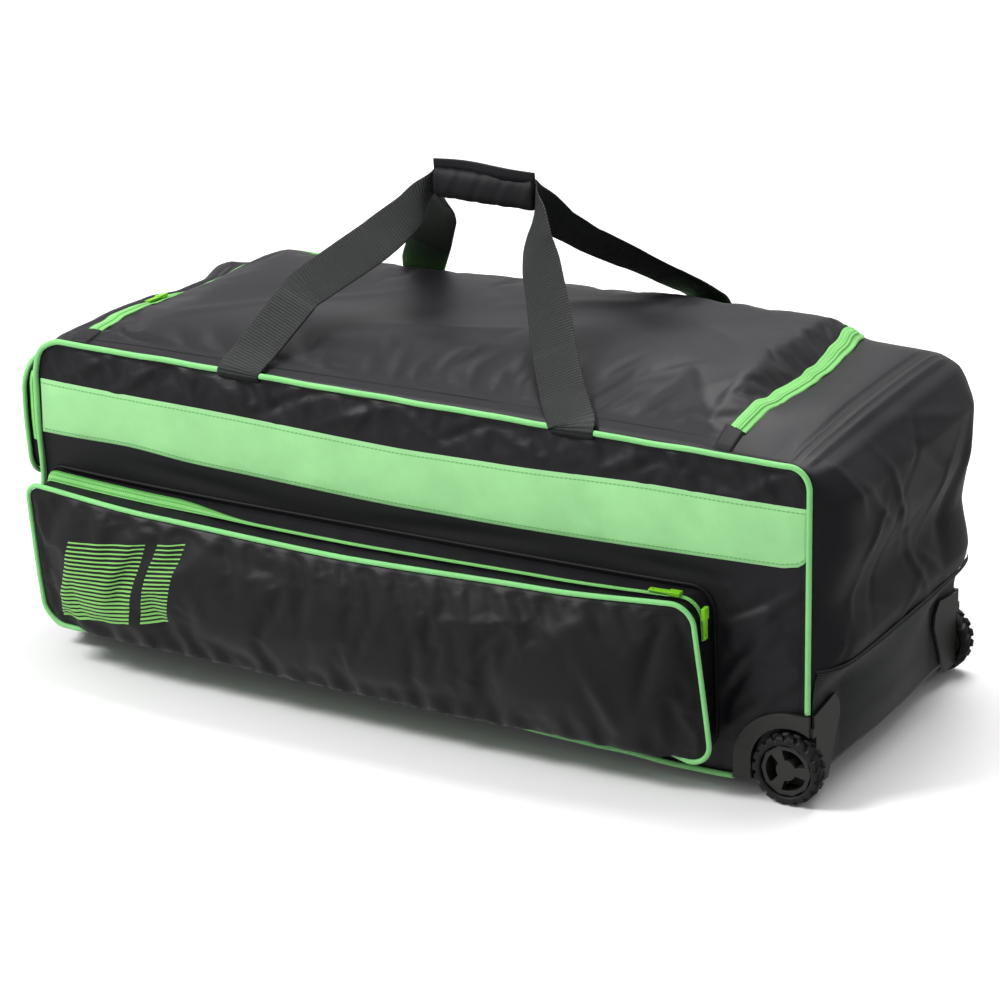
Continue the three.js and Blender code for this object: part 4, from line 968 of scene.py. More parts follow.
        # The upper cloth laps 13 mm over the end's, and its two rows of stitches draw it in
        drawn = 1.3 * (bell((over - 3) / 1.6) + bell((over - 9) / 1.6)) + 2.0 * bell((over + 3) / 2.5)
        lift += (2.3 * lap - drawn * (over > -12)) * free
        points[..., 0] += lift * loop.nu[None]
        points[..., 2] += lift * loop.nv[None]
        s = np.concatenate([loop.s, [loop.s[-1] + 2.8]])
        uv = grid_of(s[None], t * self.depth / 2)
        centre = (points[:-1] + points[1:]) / 2
        centre = (centre + np.roll(centre, -1, 1)) / 2
        well = self.wheel_corner(centre[..., 0], centre[..., 1], centre[..., 2], 2.0)
        under = lid.covers(centre[..., 0], centre[..., 1], -1.0) & (centre[..., 2] > self.height / 2 + 60)
        rows = np.minimum(np.abs(over - 2.5), np.abs(over - 8.5))
        seam = np.broadcast_to(np.where(over > -12, rows, 20.0), x.shape)
        made = surface(
            "main_wrap", points, uv, around=True, keep=~(well | under), inside=MIDDLE,
            marks={"seam": seam, "run": y},
        )
        dress(made, POLYESTER, stands_for=("body_shell",))

    def _panel(self, name: str, side: int) -> None:
        """The front or back panel inside its seam, puckered by its thread, with the cloth's spare length."""
        loop = self.loop(4.5)
        ring = self.side_point(loop, np.array([[float(side)]]), np.array([[self.seam_inset]]))[0]
        flat = patch(ring[:, [0, 2]], loop.corners, 200, 78)
        x, z = flat[..., 0], flat[..., 1]
        depth = self.front_y(x, z) if side < 0 else self.back_y(x, z)
        a = np.linspace(0, 1, 200)[None]
        b = np.linspace(0, 1, 78)[:, None]
        edge = np.minimum(np.minimum(a, 1 - a) * self.length, np.minimum(b, 1 - b) * self.height)
        inner = soft(edge / 10)
        waves = ((83, 0.3, 0.5), (57, 1.9, 0.45), (38, 4.0, 0.4), (26, 0.8, 0.35))
        # Puckers lean one way and the other and die away below the seam; their crests are sharp
        lean = ripple(x + 0.7 * z, waves) * ripple(x - 0.5 * z, ((190, 0.5, 0.6), (310, 2.0, 0.6)))
        pucker = (np.abs(lean) ** 0.7 * np.sign(lean)) * bell((1 - b) * self.height / 36) * inner
        pucker += 0.5 * ripple(x - 0.15 * z, waves) * bell(b * self.height / 40) * inner
        creases = folded(self.front_creases, side * -x, z) * inner
        out = 3.2 * pucker + creases
        points = np.stack([x, depth + side * out, z], -1)
        uv = np.stack([x, z], -1)
        centre = (points[1:, 1:] + points[:-1, :-1]) / 2
        keep = ~self.wheel_corner(centre[..., 0], centre[..., 1], centre[..., 2], 2.0)
        marks = {"seam": edge - 7.5, "run": x + z}
        made = surface(name, points, uv, keep=keep, inside=MIDDLE, marks=marks)
        # The band and the pocket are sewn to the front panel, so that the cloth is held there
        under = (z < 312) & (z > 218) | (z < 224) & (np.abs(x + 49) < 408)
        settle(made, (edge < 6) | under & (side < 0), 0.025, 1.5, 0.007)
        dress(made, POLYESTER)


@dataclass
class Lid:
    """The lid and its U-shaped zip, sizes in mm."""

    box: MainBox
    left: float = -406.0
    right: float = 350.0
    front: float = -171.5
    back: float = 171.5
    corner: float = 30.0
    bow: float = 12.0
    zip_start: float = 18.0
    zip_width: float = 18.0

    def bowed(self, y: Array) -> Array:
        """How far the right edge bows out: a parabola from the front edge to the back corner."""
        t = np.clip((y - self.front) / (self.back - self.corner - self.front), 0, 1)
        return 4 * self.bow * t * (1 - t)

    def covers(self, x: Array, y: Array, grow: float) -> Array:
        """Which places lie inside the lid's outline, grown by a margin."""
        right = self.right + self.bowed(y)
        inside = (x > self.left - grow) & (x < right + grow) & (y > self.front + 6) & (y < self.back + grow)
        reach_y = y - (self.back - self.corner)
        reach_x = np.maximum(self.left + self.corner - x, x - (self.right - self.corner))
        outside_arc = (reach_y > 0) & (reach_x > 0) & (np.hypot(reach_x, reach_y) > self.corner + grow)
        return inside & ~outside_arc

    def ring(self, grow: float = 0.0) -> tuple[Array, tuple[int, int, int, int]]:
        """The lid's outline in plan, anticlockwise from the front left, and its four corners."""
        width = self.right - self.left
        loop = rounded_loop(width, self.back - self.front, (0.5, 0.5, self.corner, self.corner), 4.0)
        x = loop.u + (self.left + self.right) / 2
        y = loop.v + self.front
        x = x + np.where(loop.u > width / 2 - 1, self.bowed(y), 0.0)
        ring = np.stack([x + grow * loop.nu, y + grow * loop.nv], -1)
        return ring, loop.corners

    def build(self) -> None:
        """Builds the lid's cloth, the zip's two tapes and coil, and the tabs at its ends."""
        ring, corners = self.ring()
        flat = patch(ring, corners, 180, 84)
        x, y = flat[..., 0], flat[..., 1]
        box = self.box
        a = np.linspace(0, 1, 180)[None]
        b = np.linspace(0, 1, 84)[:, None]
        wide, deep = self.right - self.left, self.back - self.front
        edge = np.minimum(np.minimum(a, 1 - a) * wide, np.minimum(b, 1 - b) * deep)
        free = soft((edge - 6) / 24)
        lift = 0.75 * folded(box.lid_creases, x, y) * free
        waves = ((47, 0.0, 0.5), (31, 2.0, 0.4), (23, 4.4, 0.3))
        near = bell((edge - 16) / 12)
        lift += 0.6 * near * ripple(y + 0.4 * x, waves) * soft(edge / 8)
        points = np.stack([x, y, box.top_z(x, y) + 0.3 + lift], -1)
        # The zip's three sides are stitched; the front side runs on into the front seam
        sewn = np.minimum(np.minimum(a, 1 - a) * wide, (1 - b) * deep)
        marks = {"seam": sewn - 12.5, "run": x + y}
        made = surface("lid_cloth", points, np.stack([x, y], -1), inside=MIDDLE, marks=marks)
        settle(made, edge < 12, 0.012, 1.5, 0.005)
        dress(made, POLYESTER, stands_for=("lid",))
        self._zip()
        self._tabs()

    def _zip(self) -> None:
        """The zip: a profile of two tapes and a raised coil, carried round the U on the top."""
        ring, corners = self.ring()
        line = resampled(ring[corners[1] + 1 : corners[0]], 420)
        line = line[line[:, 1] > self.front + self.zip_start]
        run = np.arange(len(line)) * 3.3
        tangent = unit(np.gradient(line, axis=0))
        side = np.stack([tangent[:, 1], -tangent[:, 0]], -1)
        width = np.array([-9.0, -8.6, -6.4, -3.4, -2.8, -1.6, -0.5, 0.0, 0.5, 1.6, 2.8, 3.4, 6.4, 8.6, 9.0])
        high = np.array([0.2, 1.3, 1.5, 1.5, 2.4, 2.9, 2.6, 2.2, 2.6, 2.9, 2.4, 1.5, 1.5, 1.3, 0.2])
        wander = 0.9 * ripple(run, ((61, 0.5, 0.6), (37, 2.2, 0.4)))
        place = line[:, None] + (width[None, :, None] + wander[:, None, None]) * side[:, None]
        z = self.box.top_z(place[..., 0], place[..., 1]) + 0.4 + high[None]
        # The tapes lift a little at their edges
        z += 0.5 * ripple(run[:, None], ((43, 1.0, 0.6), (29, 3.0, 0.4))) * (np.abs(width[None]) / 9)
        points = np.concatenate([place, z[..., None]], -1)
        uv = grid_of(run_of(line)[:, None], width[None])
        made = surface("lid_zip_tape", points, uv, inside=MIDDLE)
        dress(made, LIME_ZIP, stands_for=("lid_zip",))

    def _tabs(self) -> None:
        """Two small stitched tabs from the zip's ends to the front seam."""
        for name, x in (("zip_tab_left", self.left), ("zip_tab_right", self.right)):
            u = np.linspace(-10.5, 10.5, 15)[None]
            v = np.linspace(self.front - 10, self.front + self.zip_start + 3, 17)[:, None]
            px = np.broadcast_to(x + u, (17, 15))
            py = np.broadcast_to(v, (17, 15))
            border = np.minimum(10.5 - np.abs(u), np.minimum(v - v.min(), v.max() - v))
            z = self.box.top_z(px, py) + 0.2 + 3.4 * soft(border / 2.0)
            points = np.stack([px, py, z], -1)
            marks = {"seam": border - 3.5, "run": px + py}
            made = surface(name, points, np.stack([px, py], -1), inside=MIDDLE, marks=marks)
            dress(made, NYLON)


@dataclass
class Piping:
    """The corded seams round the front and back panels, sizes in mm."""

    box: MainBox
    radius: float = 3.0
    gap: float = 0.5
    cover_x: float = 368.6
    cover_z: float = 85.5

    def build(self) -> None:
        """Carries a round cord along both seams, open where the housings cover them."""
        for name, side in (("front_piping", -1), ("back_piping", 1)):
            loop = self.box.loop(4.0)
            edge = self.box.side_point(loop, np.array([[float(side)]]), np.array([[self.box.seam_inset]]))[0]
            # The back seam is rolled over the edge, so that its cord looks straight back
            turn = math.radians(50) * soft(loop.v / (2 * self.box.base_radius)) * (side < 0)
            reach = self.radius + self.gap
            rolled = 4.0 * (side > 0) * soft(loop.v / (2 * self.box.base_radius))
            out = np.stack([loop.nu, np.zeros_like(loop.nu), loop.nv], -1)
            centre = edge + (reach * np.sin(turn) - rolled)[:, None] * out
            centre[:, 1] += side * reach * np.cos(turn)
            hidden = (centre[:, 0] > self.cover_x) & (centre[:, 2] < self.cover_z)
            start = int(np.flatnonzero(hidden)[-1]) + 1
            order = np.roll(np.arange(len(centre)), -start)
            order = order[~hidden[order]]
            run = np.arange(len(order))
            centre = centre[order]
            centre[:, 2] += 0.5 * ripple(run, ((31, 0.2, 0.6), (17, 1.2, 0.4)))
            grid, uv = tube(centre, out[order], self.radius, 14, False)
            made = surface(name + "_cord", grid, uv, around=True, ends=True)
            face_out(made)
            dress(made, LIME_CORD, stands_for=(name,))


def face_out(piece: bpy.types.Object) -> None:
    """Turns the faces of a closed mesh outwards, by the sign of its volume."""
    mesh = piece.data
    mesh.calc_loop_triangles()
    count = len(mesh.loop_triangles)
    corners = np.empty(3 * count, np.int32)
    mesh.loop_triangles.foreach_get("vertices", corners)
    co = np.empty(3 * len(mesh.vertices), np.float32)
    mesh.vertices.foreach_get("co", co)
    tri = co.reshape(-1, 3)[corners.reshape(-1, 3)].astype(float)
    volume = np.einsum("ij,ij->", tri[:, 0], np.cross(tri[:, 1], tri[:, 2]))
    if volume < 0:
        mesh.flip_normals()


@dataclass
class Band:
    """The lime band sewn across the front, sizes in mm; top and bottom are its edges along the length."""

    box: MainBox
    left: float = -454.0
    right: float = 447.0
    lift: float = 1.6
    top: Rows = ((-454, 306), (-252, 306), (-11, 301), (105, 303), (275, 309), (447, 308))
    bottom: Rows = (
        (-454, 245), (-341, 249), (-251, 244), (-10, 238), (107, 238), (364, 242),
        (420, 242), (436, 244.5), (443, 248.5), (447, 254),
    )

    def build(self) -> None:
        """A strip between the two edges, 1.6 mm proud, with a hem along each edge and soft slanting waves."""
        x = np.linspace(self.left, self.right, 400)[None]
        share = np.linspace(0, 1, 22)[:, None]
        low, high = along(self.bottom, x), along(self.top, x)
        z = low + (high - low) * share
        hem = np.minimum(share, 1 - share) * (high - low)
        end = np.minimum(x - self.left, self.right - x)
        edge = np.minimum(hem, end)
        waves = ((97, 0.7, 0.5), (61, 2.9, 0.5), (41, 0.4, 0.35))
        swell = 1.1 * (1.2 + ripple(x + 0.8 * z, waves)) * soft(hem / 14) * soft(end / 25)
        depth = self.lift * soft(edge / 1.5) + 0.5 * bell((hem - 4) / 3) + swell
        y = self.box.front_y(x, z) - 0.3 - depth
        points = grid_of(x, y, z)
        uv = grid_of(x, z)
        marks = {"seam": hem - 4.5, "run": x}
        made = surface("front_band_cloth", points, uv, inside=MIDDLE, marks=marks)
        dress(made, LIME_CLOTH, stands_for=("front_band",))


@dataclass
class Pocket:
    """A gusseted pocket: base outline, seam outline at full depth, and the panel that closes it."""

    box: MainBox
    name: str = "front_pocket"
    swell: float = 20.0
    depth: float = 48.0
    waist: float = 2.5
    left: float = -442.0
    right: float = 344.0
    top: float = 205.0
    bottom: float = 30.0
    corner: float = 26.0
    slant: float = 14.0
    top_drop: Rows = ((0, 0.02), (0.2, 0.05), (0.5, 0.07), (0.8, 0.05), (1, 0.02))
    foot_lift: Rows = ((0, 0.1), (0.2, 0.09), (0.5, 0.06), (0.8, 0.03), (1, 0))
    depths: Rows = ((0, 1.02), (0.2, 1.12), (0.5, 1.2), (0.8, 1.08), (1, 0.9))
    creases: tuple[Fold, ...] = (
        Fold(-330, 120, 62, 70, 12, 3.5), Fold(-250, 80, -12, 120, 10, -2.8),
        Fold(-140, 170, -6, 150, 9, -3.0),
        Fold(40, 60, 4, 170, 10, -2.8), Fold(150, 160, 6, 130, 9, 2.6), Fold(250, 90, -66, 60, 11, 3.2),
        Fold(300, 140, 78, 50, 9, -2.8), Fold(-60, 110, 10, 140, 12, 2.4), Fold(-395, 90, 70, 50, 9, 2.6),
    )

    def loop(self) -> Loop:
        """The base outline on the panel."""
        c = self.corner
        wide, tall = self.right - self.left, self.top - self.bottom
        made = rounded_loop(wide, tall, (c, 0.8 * c, 0.8 * c, 0.5 * c), 4.0)
        return made.moved((self.left + self.right) / 2, self.bottom)

    def place(self, u: Array, v: Array, w: Array) -> Array:
        """A point at a distance from the front panel."""
        u, v, w = np.broadcast_arrays(u, v, w)
        return np.stack([u, self.box.front_y(u, v) - 0.5 - w, v], -1)

    def cord(self, loop: Loop) -> tuple[Array, Array, Array]:
        """The seam at full depth: the outline, lower at its top, higher at its foot, slanted at its ends."""
        tall = self.top - self.bottom
        at = (loop.u - self.left) / (self.right - self.left)
        share = (loop.v - self.bottom) / tall
        drop = along(self.top_drop, at) * tall * soft(share * 2 - 1)
        lift = along(self.foot_lift, at) * tall * soft(1 - share * 2)
        slant = self.slant * (soft(1 - at * 8) * (1 - share) + soft(at * 12 - 11) * (0.9 - 1.15 * share))
        w = self.depth * along(self.depths, at) * (0.9 + 0.1 * share)
        return loop.u + slant, loop.v - drop + lift, w

    def build(self) -> None:
        """Builds the panel, the gusset and the cord of the pocket."""
        loop = self.loop()
        cu, cv, cw = self.cord(loop)
        self._panel(loop, cu, cv, cw)
        self._gusset(loop, cu, cv, cw)
        self._cord(loop, cu, cv, cw)

    def _panel(self, loop: Loop, cu: Array, cv: Array, cw: Array) -> None:
        """The pocket's panel: a patch inside its cord, swollen, creased and left a little spare length."""
        columns = round((self.right - self.left) / 4.4)
        rows = round((self.top - self.bottom) / 3.6)
        flat = patch(np.stack([cu, cv, cw], -1), loop.corners, columns, rows)
        u, v, w = flat[..., 0], flat[..., 1], flat[..., 2]
        a = np.abs(np.linspace(-1, 1, columns))[None]
        b = np.abs(np.linspace(-1, 1, rows))[:, None]
        bubble = (1 - a**8) * (1 - b**2.6)
        edge = np.minimum((1 - a) * (self.right - self.left) / 2, (1 - b) * (self.top - self.bottom) / 2)
        inner = soft(edge / 12)
        waves = ((71, 0.9, 0.5), (43, 2.6, 0.4), (29, 4.4, 0.3))
        lift = self.swell * bubble + inner * folded(self.creases, u, v)
        lift += 1.5 * inner * ripple(u + 0.4 * v, waves) * bell((edge - 12) / 18)
        # The cloth sags over the foot's cord, but for its two ends
        foot = np.linspace(0, self.top - self.bottom, rows)[:, None]
        sag = self.sag(u) * bell((foot - 9) / 8)
        points = self.place(u, v - 7.0 * sag * soft(foot / 4), w + lift + 3.0 * sag * soft(foot / 4))
        span = np.linspace(0, self.right - self.left, columns)[None]
        marks = {"seam": edge - 6.5, "run": u + v, **self.stripes(*np.broadcast_arrays(span, foot))}
        made = surface(self.name + "_panel", points, np.stack([u, v], -1), inside=MIDDLE, marks=marks)
        settle(made, edge < 5, 0.025, 1.5, 0.007)
        finish, nodes = self.finish()
        dress(made, finish, stands_for=nodes)

    def finish(self) -> tuple[Finish, tuple[str, ...]]:
        """The panel's finish and the solid that it stands for."""
        return PRINTED_POLYESTER, ("front_pocket",)

    def sag(self, u: Array) -> Array:
        """How much of the panel's sag is there along the foot: all of it but for the two ends."""
        return soft((u - self.left - 40) / 40) * soft((self.right - 14 - u) / 30)

    def stripes(self, along_foot: Array, high: Array) -> dict[str, Array]:
        """Marks for the print near the left end.

        Args:
            along_foot: the cloth's own length from its left edge.
            high: the cloth's own height from its foot.

        Returns:
            The marks high and lean.
        """
        return {"high": high, "lean": along_foot - 0.3 * high}

    def _gusset(self, loop: Loop, cu: Array, cv: Array, cw: Array) -> None:
        """The gusset: straight from base to cord, drawn in at the middle by its waist."""
        k = np.linspace(0, 1, 12)[:, None]
        pull = self.waist * 4 * k * (1 - k)
        waves = ((53, 0.3, 0.5), (31, 1.7, 0.4))
        pull = pull - 0.8 * ripple(loop.s[None], waves) * 4 * k * (1 - k)
        u = loop.u + (cu - loop.u) * k - pull * loop.nu
        v = loop.v + (cv - loop.v) * k - pull * loop.nv
        points = self.place(u, v, cw * k)
        s = np.concatenate([loop.s, [loop.s[-1] + 4]])
        uv = grid_of(s[None], k * self.depth)
        edge = np.minimum(k, 1 - k) * self.depth
        marks = {"seam": edge - 4, "run": loop.s[None]}
        inside = self._middle(cu, cv, cw)
        made = surface(self.name + "_gusset", points, uv, around=True, inside=inside, marks=marks)
        dress(made, POLYESTER)

    def _middle(self, cu: Array, cv: Array, cw: Array) -> tuple[float, ...]:
        """A point inside the pocket, which its faces turn away from."""
        return tuple(self.place(np.array(np.mean(cu)), np.array(np.mean(cv)), np.array(np.mean(cw) / 2)))

    def _cord(self, loop: Loop, cu: Array, cv: Array, cw: Array) -> None:
        """The piping in the seam between gusset and panel."""
        reach = 3.0
        tucked = self.sag(loop.u) * soft(-loop.nv * 2)
        centre = self.place(cu + reach * loop.nu, cv + reach * loop.nv + 4.5 * tucked, cw - 5.5 * tucked)
        out = self.place(cu + loop.nu, cv + loop.nv, cw) - self.place(cu, cv, cw)
        grid, uv = tube(centre, out, 2.75, 14, True)
        made = surface(self.name + "_cord", grid, uv, around=True)
        face_out(made)
        dress(made, LIME_CORD, stands_for=(self.piping_node(),))

    def piping_node(self) -> str:
        """The solid of its piping."""
        return "pocket_piping"

    def zip_tape(self, name: str, node: str, low: float, high: float, width: float, raise_by: float) -> None:
        """A zip in the middle of the gusset, between two shares of the outline's length.

        Args:
            name: the piece's name.
            node: the solid that it stands for.
            low: the share where it starts.
            high: the share where it ends.
            width: its width in mm.
            raise_by: how far it lies outside the straight line across the gusset.
        """
        loop = self.loop()
        cu, cv, cw = self.cord(loop)
        total = loop.s[-1] + 4
        pick = (loop.s / total >= low) & (loop.s / total <= high)
        run = loop.s[pick] / total
        lane, wide, tip = self.zip_lane(run)
        u0 = loop.u[pick] + (cu - loop.u)[pick] * lane
        v0 = loop.v[pick] + (cv - loop.v)[pick] * lane
        nu, nv, w0 = loop.nu[pick], loop.nv[pick], cw[pick] * lane
        across = np.array([-0.5, -0.48, -0.36, -0.18, -0.1, -0.03, 0.03, 0.1, 0.18, 0.36, 0.48, 0.5]) * width
        high_by = np.array([0.0, 0.8, 0.9, 0.9, 1.9, 1.5, 1.5, 1.9, 0.9, 0.9, 0.8, 0.0]) + raise_by
        # Where the tape tips, its inner side stands up, so that more of its face shows
        spread = across[None] * wide[:, None]
        high_by = high_by[None] - spread * tip[:, None]
        u = u0[:, None] + high_by * nu[:, None]
        v = v0[:, None] + high_by * nv[:, None]
        points = self.place(u, v, w0[:, None] + spread)
        uv = grid_of(loop.s[pick][:, None], across[None] * 0.7)
        made = surface(name, points, uv, inside=self._middle(cu, cv, cw))
        dress(made, LIME_ZIP, stands_for=(node,))

    def zip_lane(self, run: Array) -> tuple[Array, Array, Array]:
        """Where the zip lies across the gusset, its share of width and its tip, by share of the outline.

        Along the top it is slack and lies nearly flat; at the left end it is wide, tipped up and nearer
        to the body.
        """
        left = soft((run - 0.755) / 0.06)
        return 0.5 - 0.16 * left, 0.55 + 0.65 * left, 0.5 * left

    def welt(self) -> None:
        """The bound edge that lies on the front panel round the pocket's base."""
        loop = self.loop()
        centre = self.place(loop.u + 4.5 * loop.nu, loop.v + 4.5 * loop.nv, np.zeros_like(loop.u) + 0.6)
        flat = np.array(0.0)
        out = self.place(loop.u + loop.nu, loop.v + loop.nv, flat) - self.place(loop.u, loop.v, flat)
        grid, uv = tube(centre, out, 2.0, 10, True)
        made = surface(self.name + "_welt", grid, uv, around=True)
        face_out(made)
        dress(made, NYLON)


@dataclass
class EndPocket(Pocket):
    """The pocket on the left end: u runs along the depth, and it stands out from the end."""

    name: str = "end_pocket"
    swell: float = 6.0
    depth: float = 24.0
    waist: float = 1.5
    left: float = -171.5
    right: float = 171.5
    top: float = 324.0
    bottom: float = 184.0
    corner: float = 30.0
    creases: tuple[Fold, ...] = (
        Fold(-60, 270, 30, 70, 10, 2.2), Fold(50, 230, -24, 80, 10, -2.2), Fold(90, 290, 60, 50, 9, 2.0),
        Fold(-110, 230, 74, 50, 9, -2.0),
    )

    def loop(self) -> Loop:
        """The base outline on the end."""
        c = self.corner
        made = rounded_loop(self.right - self.left, self.top - self.bottom, (c, c, c, c), 4.0)
        return made.moved(0.0, self.bottom)

    def place(self, u: Array, v: Array, w: Array) -> Array:
        """A point at a distance from the left end, sunk with the top's slump."""
        u, v, w = np.broadcast_arrays(u, v, w)
        t = u / (self.box.depth / 2)
        x = -self.box.length / 2 - self.box.end_out(np.array(-1.0), v, t) - 2.0 - w
        sink = self.box.slump * along(self.box.drop, t) * soft((v - self.bottom) / (self.top - self.bottom))
        return np.stack([x, u, v - sink], -1)

    def cord(self, loop: Loop) -> tuple[Array, Array, Array]:
        """The seam at full depth: a little narrower and lower than the base."""
        share = (loop.v - self.bottom) / (self.top - self.bottom)
        fall = share * (6 + 8 * soft(-loop.u / 170))
        return loop.u * 0.97, loop.v - fall, np.full_like(loop.u, self.depth)

    def finish(self) -> tuple[Finish, tuple[str, ...]]:
        """The panel's finish and the solid that it stands for."""
        return POLYESTER, ("end_pocket",)

    def sag(self, u: Array) -> Array:
        """No sag."""
        return np.zeros_like(u)

    def zip_lane(self, run: Array) -> tuple[Array, Array, Array]:
        """The zip lies in the middle, flat and at full width."""
        return np.full_like(run, 0.5), np.ones_like(run), np.zeros_like(run)

    def stripes(self, along_foot: Array, high: Array) -> dict[str, Array]:
        """No print."""
        return {}

    def piping_node(self) -> str:
        """The solid of its piping."""
        return "end_pocket_piping"


@dataclass
class Handles:
    """Webbing handles from seam to seam, and the wrap that holds them together. Sizes in mm."""

    box: MainBox
    width: float = 50.0
    thickness: float = 2.2
    grip_length: float = 120.0
    grip_shift: float = -9.5
    grip_height: float = 527.0
    grip_width: float = 27.0
    grip_thickness: float = 4.4
    wall: float = 2.4
    turn: Rows = ((0, 0), (0.4, 0.1), (0.7, 0.25), (0.9, 0.6), (1, 1))
    narrow: Rows = ((0, 0), (0.4, 0), (0.7, 0.08), (0.9, 0.5), (1, 1))
    # For each leg: side, end, the place of its seam along the bag, and its way up to the grip
    legs: tuple[tuple[int, int, float, Points], ...] = (
        (-1, -1, -206, ((-198, -166, 371), (-171, -109, 424), (-112, -61, 471), (-84, -30, 499))),
        (-1, 1, 185, ((160, -160, 376), (134, -127, 406), (104, -85, 447), (72, -43, 487), (57, -17, 512))),
        (1, -1, -188, ((-180, 171, 366), (-130, 101, 430), (-84, 38, 492))),
        (1, 1, 172, ((167, 168, 381), (160, 149, 395), (115, 99, 434), (75, 65, 463), (56, 35, 488))),
    )

    def over_seam(self, side: int, x: float) -> Array:
        """The strap's first points: sewn to the panel under the cord, round the cord and on to the top.

        Args:
            side: -1 for the front, 1 for the back.
            x: its place along the bag.

        Returns:
            The points, 4.6 mm from the cord's middle as far as they go round it.
        """
        loop = self.box.loop(4.0)
        edge = self.box.side_point(loop, np.array([[float(side)]]), np.array([[self.box.seam_inset]]))[0]
        row = edge[(loop.nv > 0.999)]
        low = float(np.interp(-x, -row[:, 0], row[:, 2]))
        middle_y, middle_z = side * (self.box.depth / 2 + 2.3), low + 2.7 * (side < 0) - 4.0 * (side > 0)
        a = np.radians([-70, -30, 10, 50, 95])
        arc = np.stack([0 * a + x, middle_y + side * 4.6 * np.cos(a), middle_z + 4.6 * np.sin(a)], -1)
        hem = np.array([[x, side * (self.box.depth / 2 + 2.6), middle_z - 7.0]])
        return np.concatenate([hem, arc])

    def leg(self, side: int, end: int, x: float, way: Points) -> tuple[Array, ...]:
        """One leg: a smooth curve from its seam to the grip, turned and narrowed as it climbs.

        Args:
            side: -1 for the front, 1 for the back.
            end: -1 for the left leg, 1 for the right.
            x: the place of its seam along the bag.
            way: the points that it passes on its way up.

        Returns:
            Points, width direction, thickness direction, width and thickness, from seam to grip.
        """
        last = (self.grip_shift + end * (self.grip_length / 2 + 0.5), side * 2.45, self.grip_height)
        knots = np.concatenate([self.over_seam(side, x), np.array(way), [last]])
        # Sixty rounds of averaging take the corners off the way; the first points stay on the seam
        curve = resampled(knots, 400)
        for _ in range(60):
            curve[8:-1] = (curve[7:-2] + 2 * curve[8:-1] + curve[9:]) / 4
        line = resampled(curve, 110)
        t = np.linspace(0, 1, 110)
        turn = along(self.turn, t) * math.pi / 2
        across = np.stack([-end * np.cos(turn), 0 * turn, -np.sin(turn)], -1)
        width = self.width + (self.grip_width - self.width) * along(self.narrow, t)
        thick = self.thickness + (self.grip_thickness - self.thickness) * soft(4 * t - 3)
        # The lower third is doubled, and its end stands out as a step
        thick = thick + 1.6 * (1 - soft((t - 0.36) / 0.012))
        tangent = unit(-end * np.gradient(line, axis=0))
        blend = soft(5 * t - 4)[:, None]
        tangent = tangent * (1 - blend) + blend * np.array([1.0, 0, 0])
        side_way = unit(across - np.einsum("ij,ij->i", across, tangent)[:, None] * tangent)
        normal = unit(np.cross(tangent, side_way))
        return line, side_way, normal, width, thick

    def build(self) -> None:
        """Builds both straps and the grip wrap."""
        for name, side in (("handle_strap_front", -1), ("handle_strap_back", 1)):
            left, right = (self.leg(*leg) for leg in self.legs if leg[0] == side)
            joined = [np.concatenate([a, b[::-1]]) for a, b in zip(left, right)]
            line, across, normal, width, thick = joined
            # A flat oval with rounded edges, its points closer at the edges
            a = np.linspace(0, 2 * math.pi, 28, endpoint=False)
            wide = np.sign(np.cos(a)) * np.abs(np.cos(a)) ** 0.35 / 2
            tall = np.sign(np.sin(a)) * np.abs(np.sin(a)) ** 0.6 / 2
            profile = np.stack([width[:, None] * wide[None], thick[:, None] * tall[None]], -1)
            # The webbing cups slightly across its width
            profile[..., 1] += 1.2 * np.square(2 * wide)[None] * (width[:, None] / self.width - 0.4)
            grid, uv = strip(line, across, normal, profile)
            made = surface(name + "_webbing", grid, uv, around=True, ends=True)
            face_out(made)
            dress(made, WEBBING, stands_for=(name,))
        self._grip()

    def _grip(self) -> None:
        """The wrap: an oval sleeve with bound ends, and the edge that stands up along its top."""
        x = np.linspace(-0.5, 0.5, 60)
        a = np.linspace(0, 2 * math.pi, 64, endpoint=False)
        half_y = self.grip_thickness + 0.75 + self.wall + 2.6
        half_z = self.grip_width / 2 + 0.5 + self.wall
        y0 = np.sign(np.cos(a)) * np.abs(np.cos(a)) ** 0.8
        z0 = np.sign(np.sin(a)) * np.abs(np.sin(a)) ** 0.8
        end = (0.5 - np.abs(x)) * self.grip_length
        swell = 1 + 0.05 * np.cos(math.pi * x) - 0.35 * bell(end / 1.4) + 0.05 * bell((end - 6) / 4)
        waves = ((23, 0.4, 0.6), (13, 2, 0.4))
        wrinkle = 0.5 * ripple(x[:, None] * self.grip_length + 6 * np.sin(2 * a)[None], waves)
        grid = np.empty((60, 64, 3))
        grid[..., 0] = (self.grip_shift + x * self.grip_length)[:, None]
        grid[..., 1] = (half_y * swell[:, None] + wrinkle) * y0[None]
        grid[..., 2] = self.grip_height + (half_z * swell[:, None] + wrinkle) * z0[None]
        uv = grid_of((x * self.grip_length)[:, None], np.linspace(0, 80, 65)[None])
        marks = {"seam": (end - 7)[:, None], "run": a[None] * 13}
        made = surface("grip_sleeve", grid, uv, around=True, ends=True, marks=marks)
        face_out(made)
        dress(made, NYLON, stands_for=("grip_wrap",))
        wander = 3.0 * np.sin(2 * math.pi * (x + 0.5)) - 3.6
        line = np.stack([self.grip_shift + x * (self.grip_length - 1), wander, 0 * x], -1)
        line[:, 2] = self.grip_height + half_z - 3
        high = 12.5 + 2 * np.cos(math.pi * x)
        half = np.array([[-1.2, 0.0], [-1.2, 0.5], [-1.1, 0.9], [-0.6, 1.0]])
        outline = np.concatenate([half, half[::-1] * (-1, 1)])
        profile = grid_of(outline[None, :, 0], outline[None, :, 1] * high[:, None])
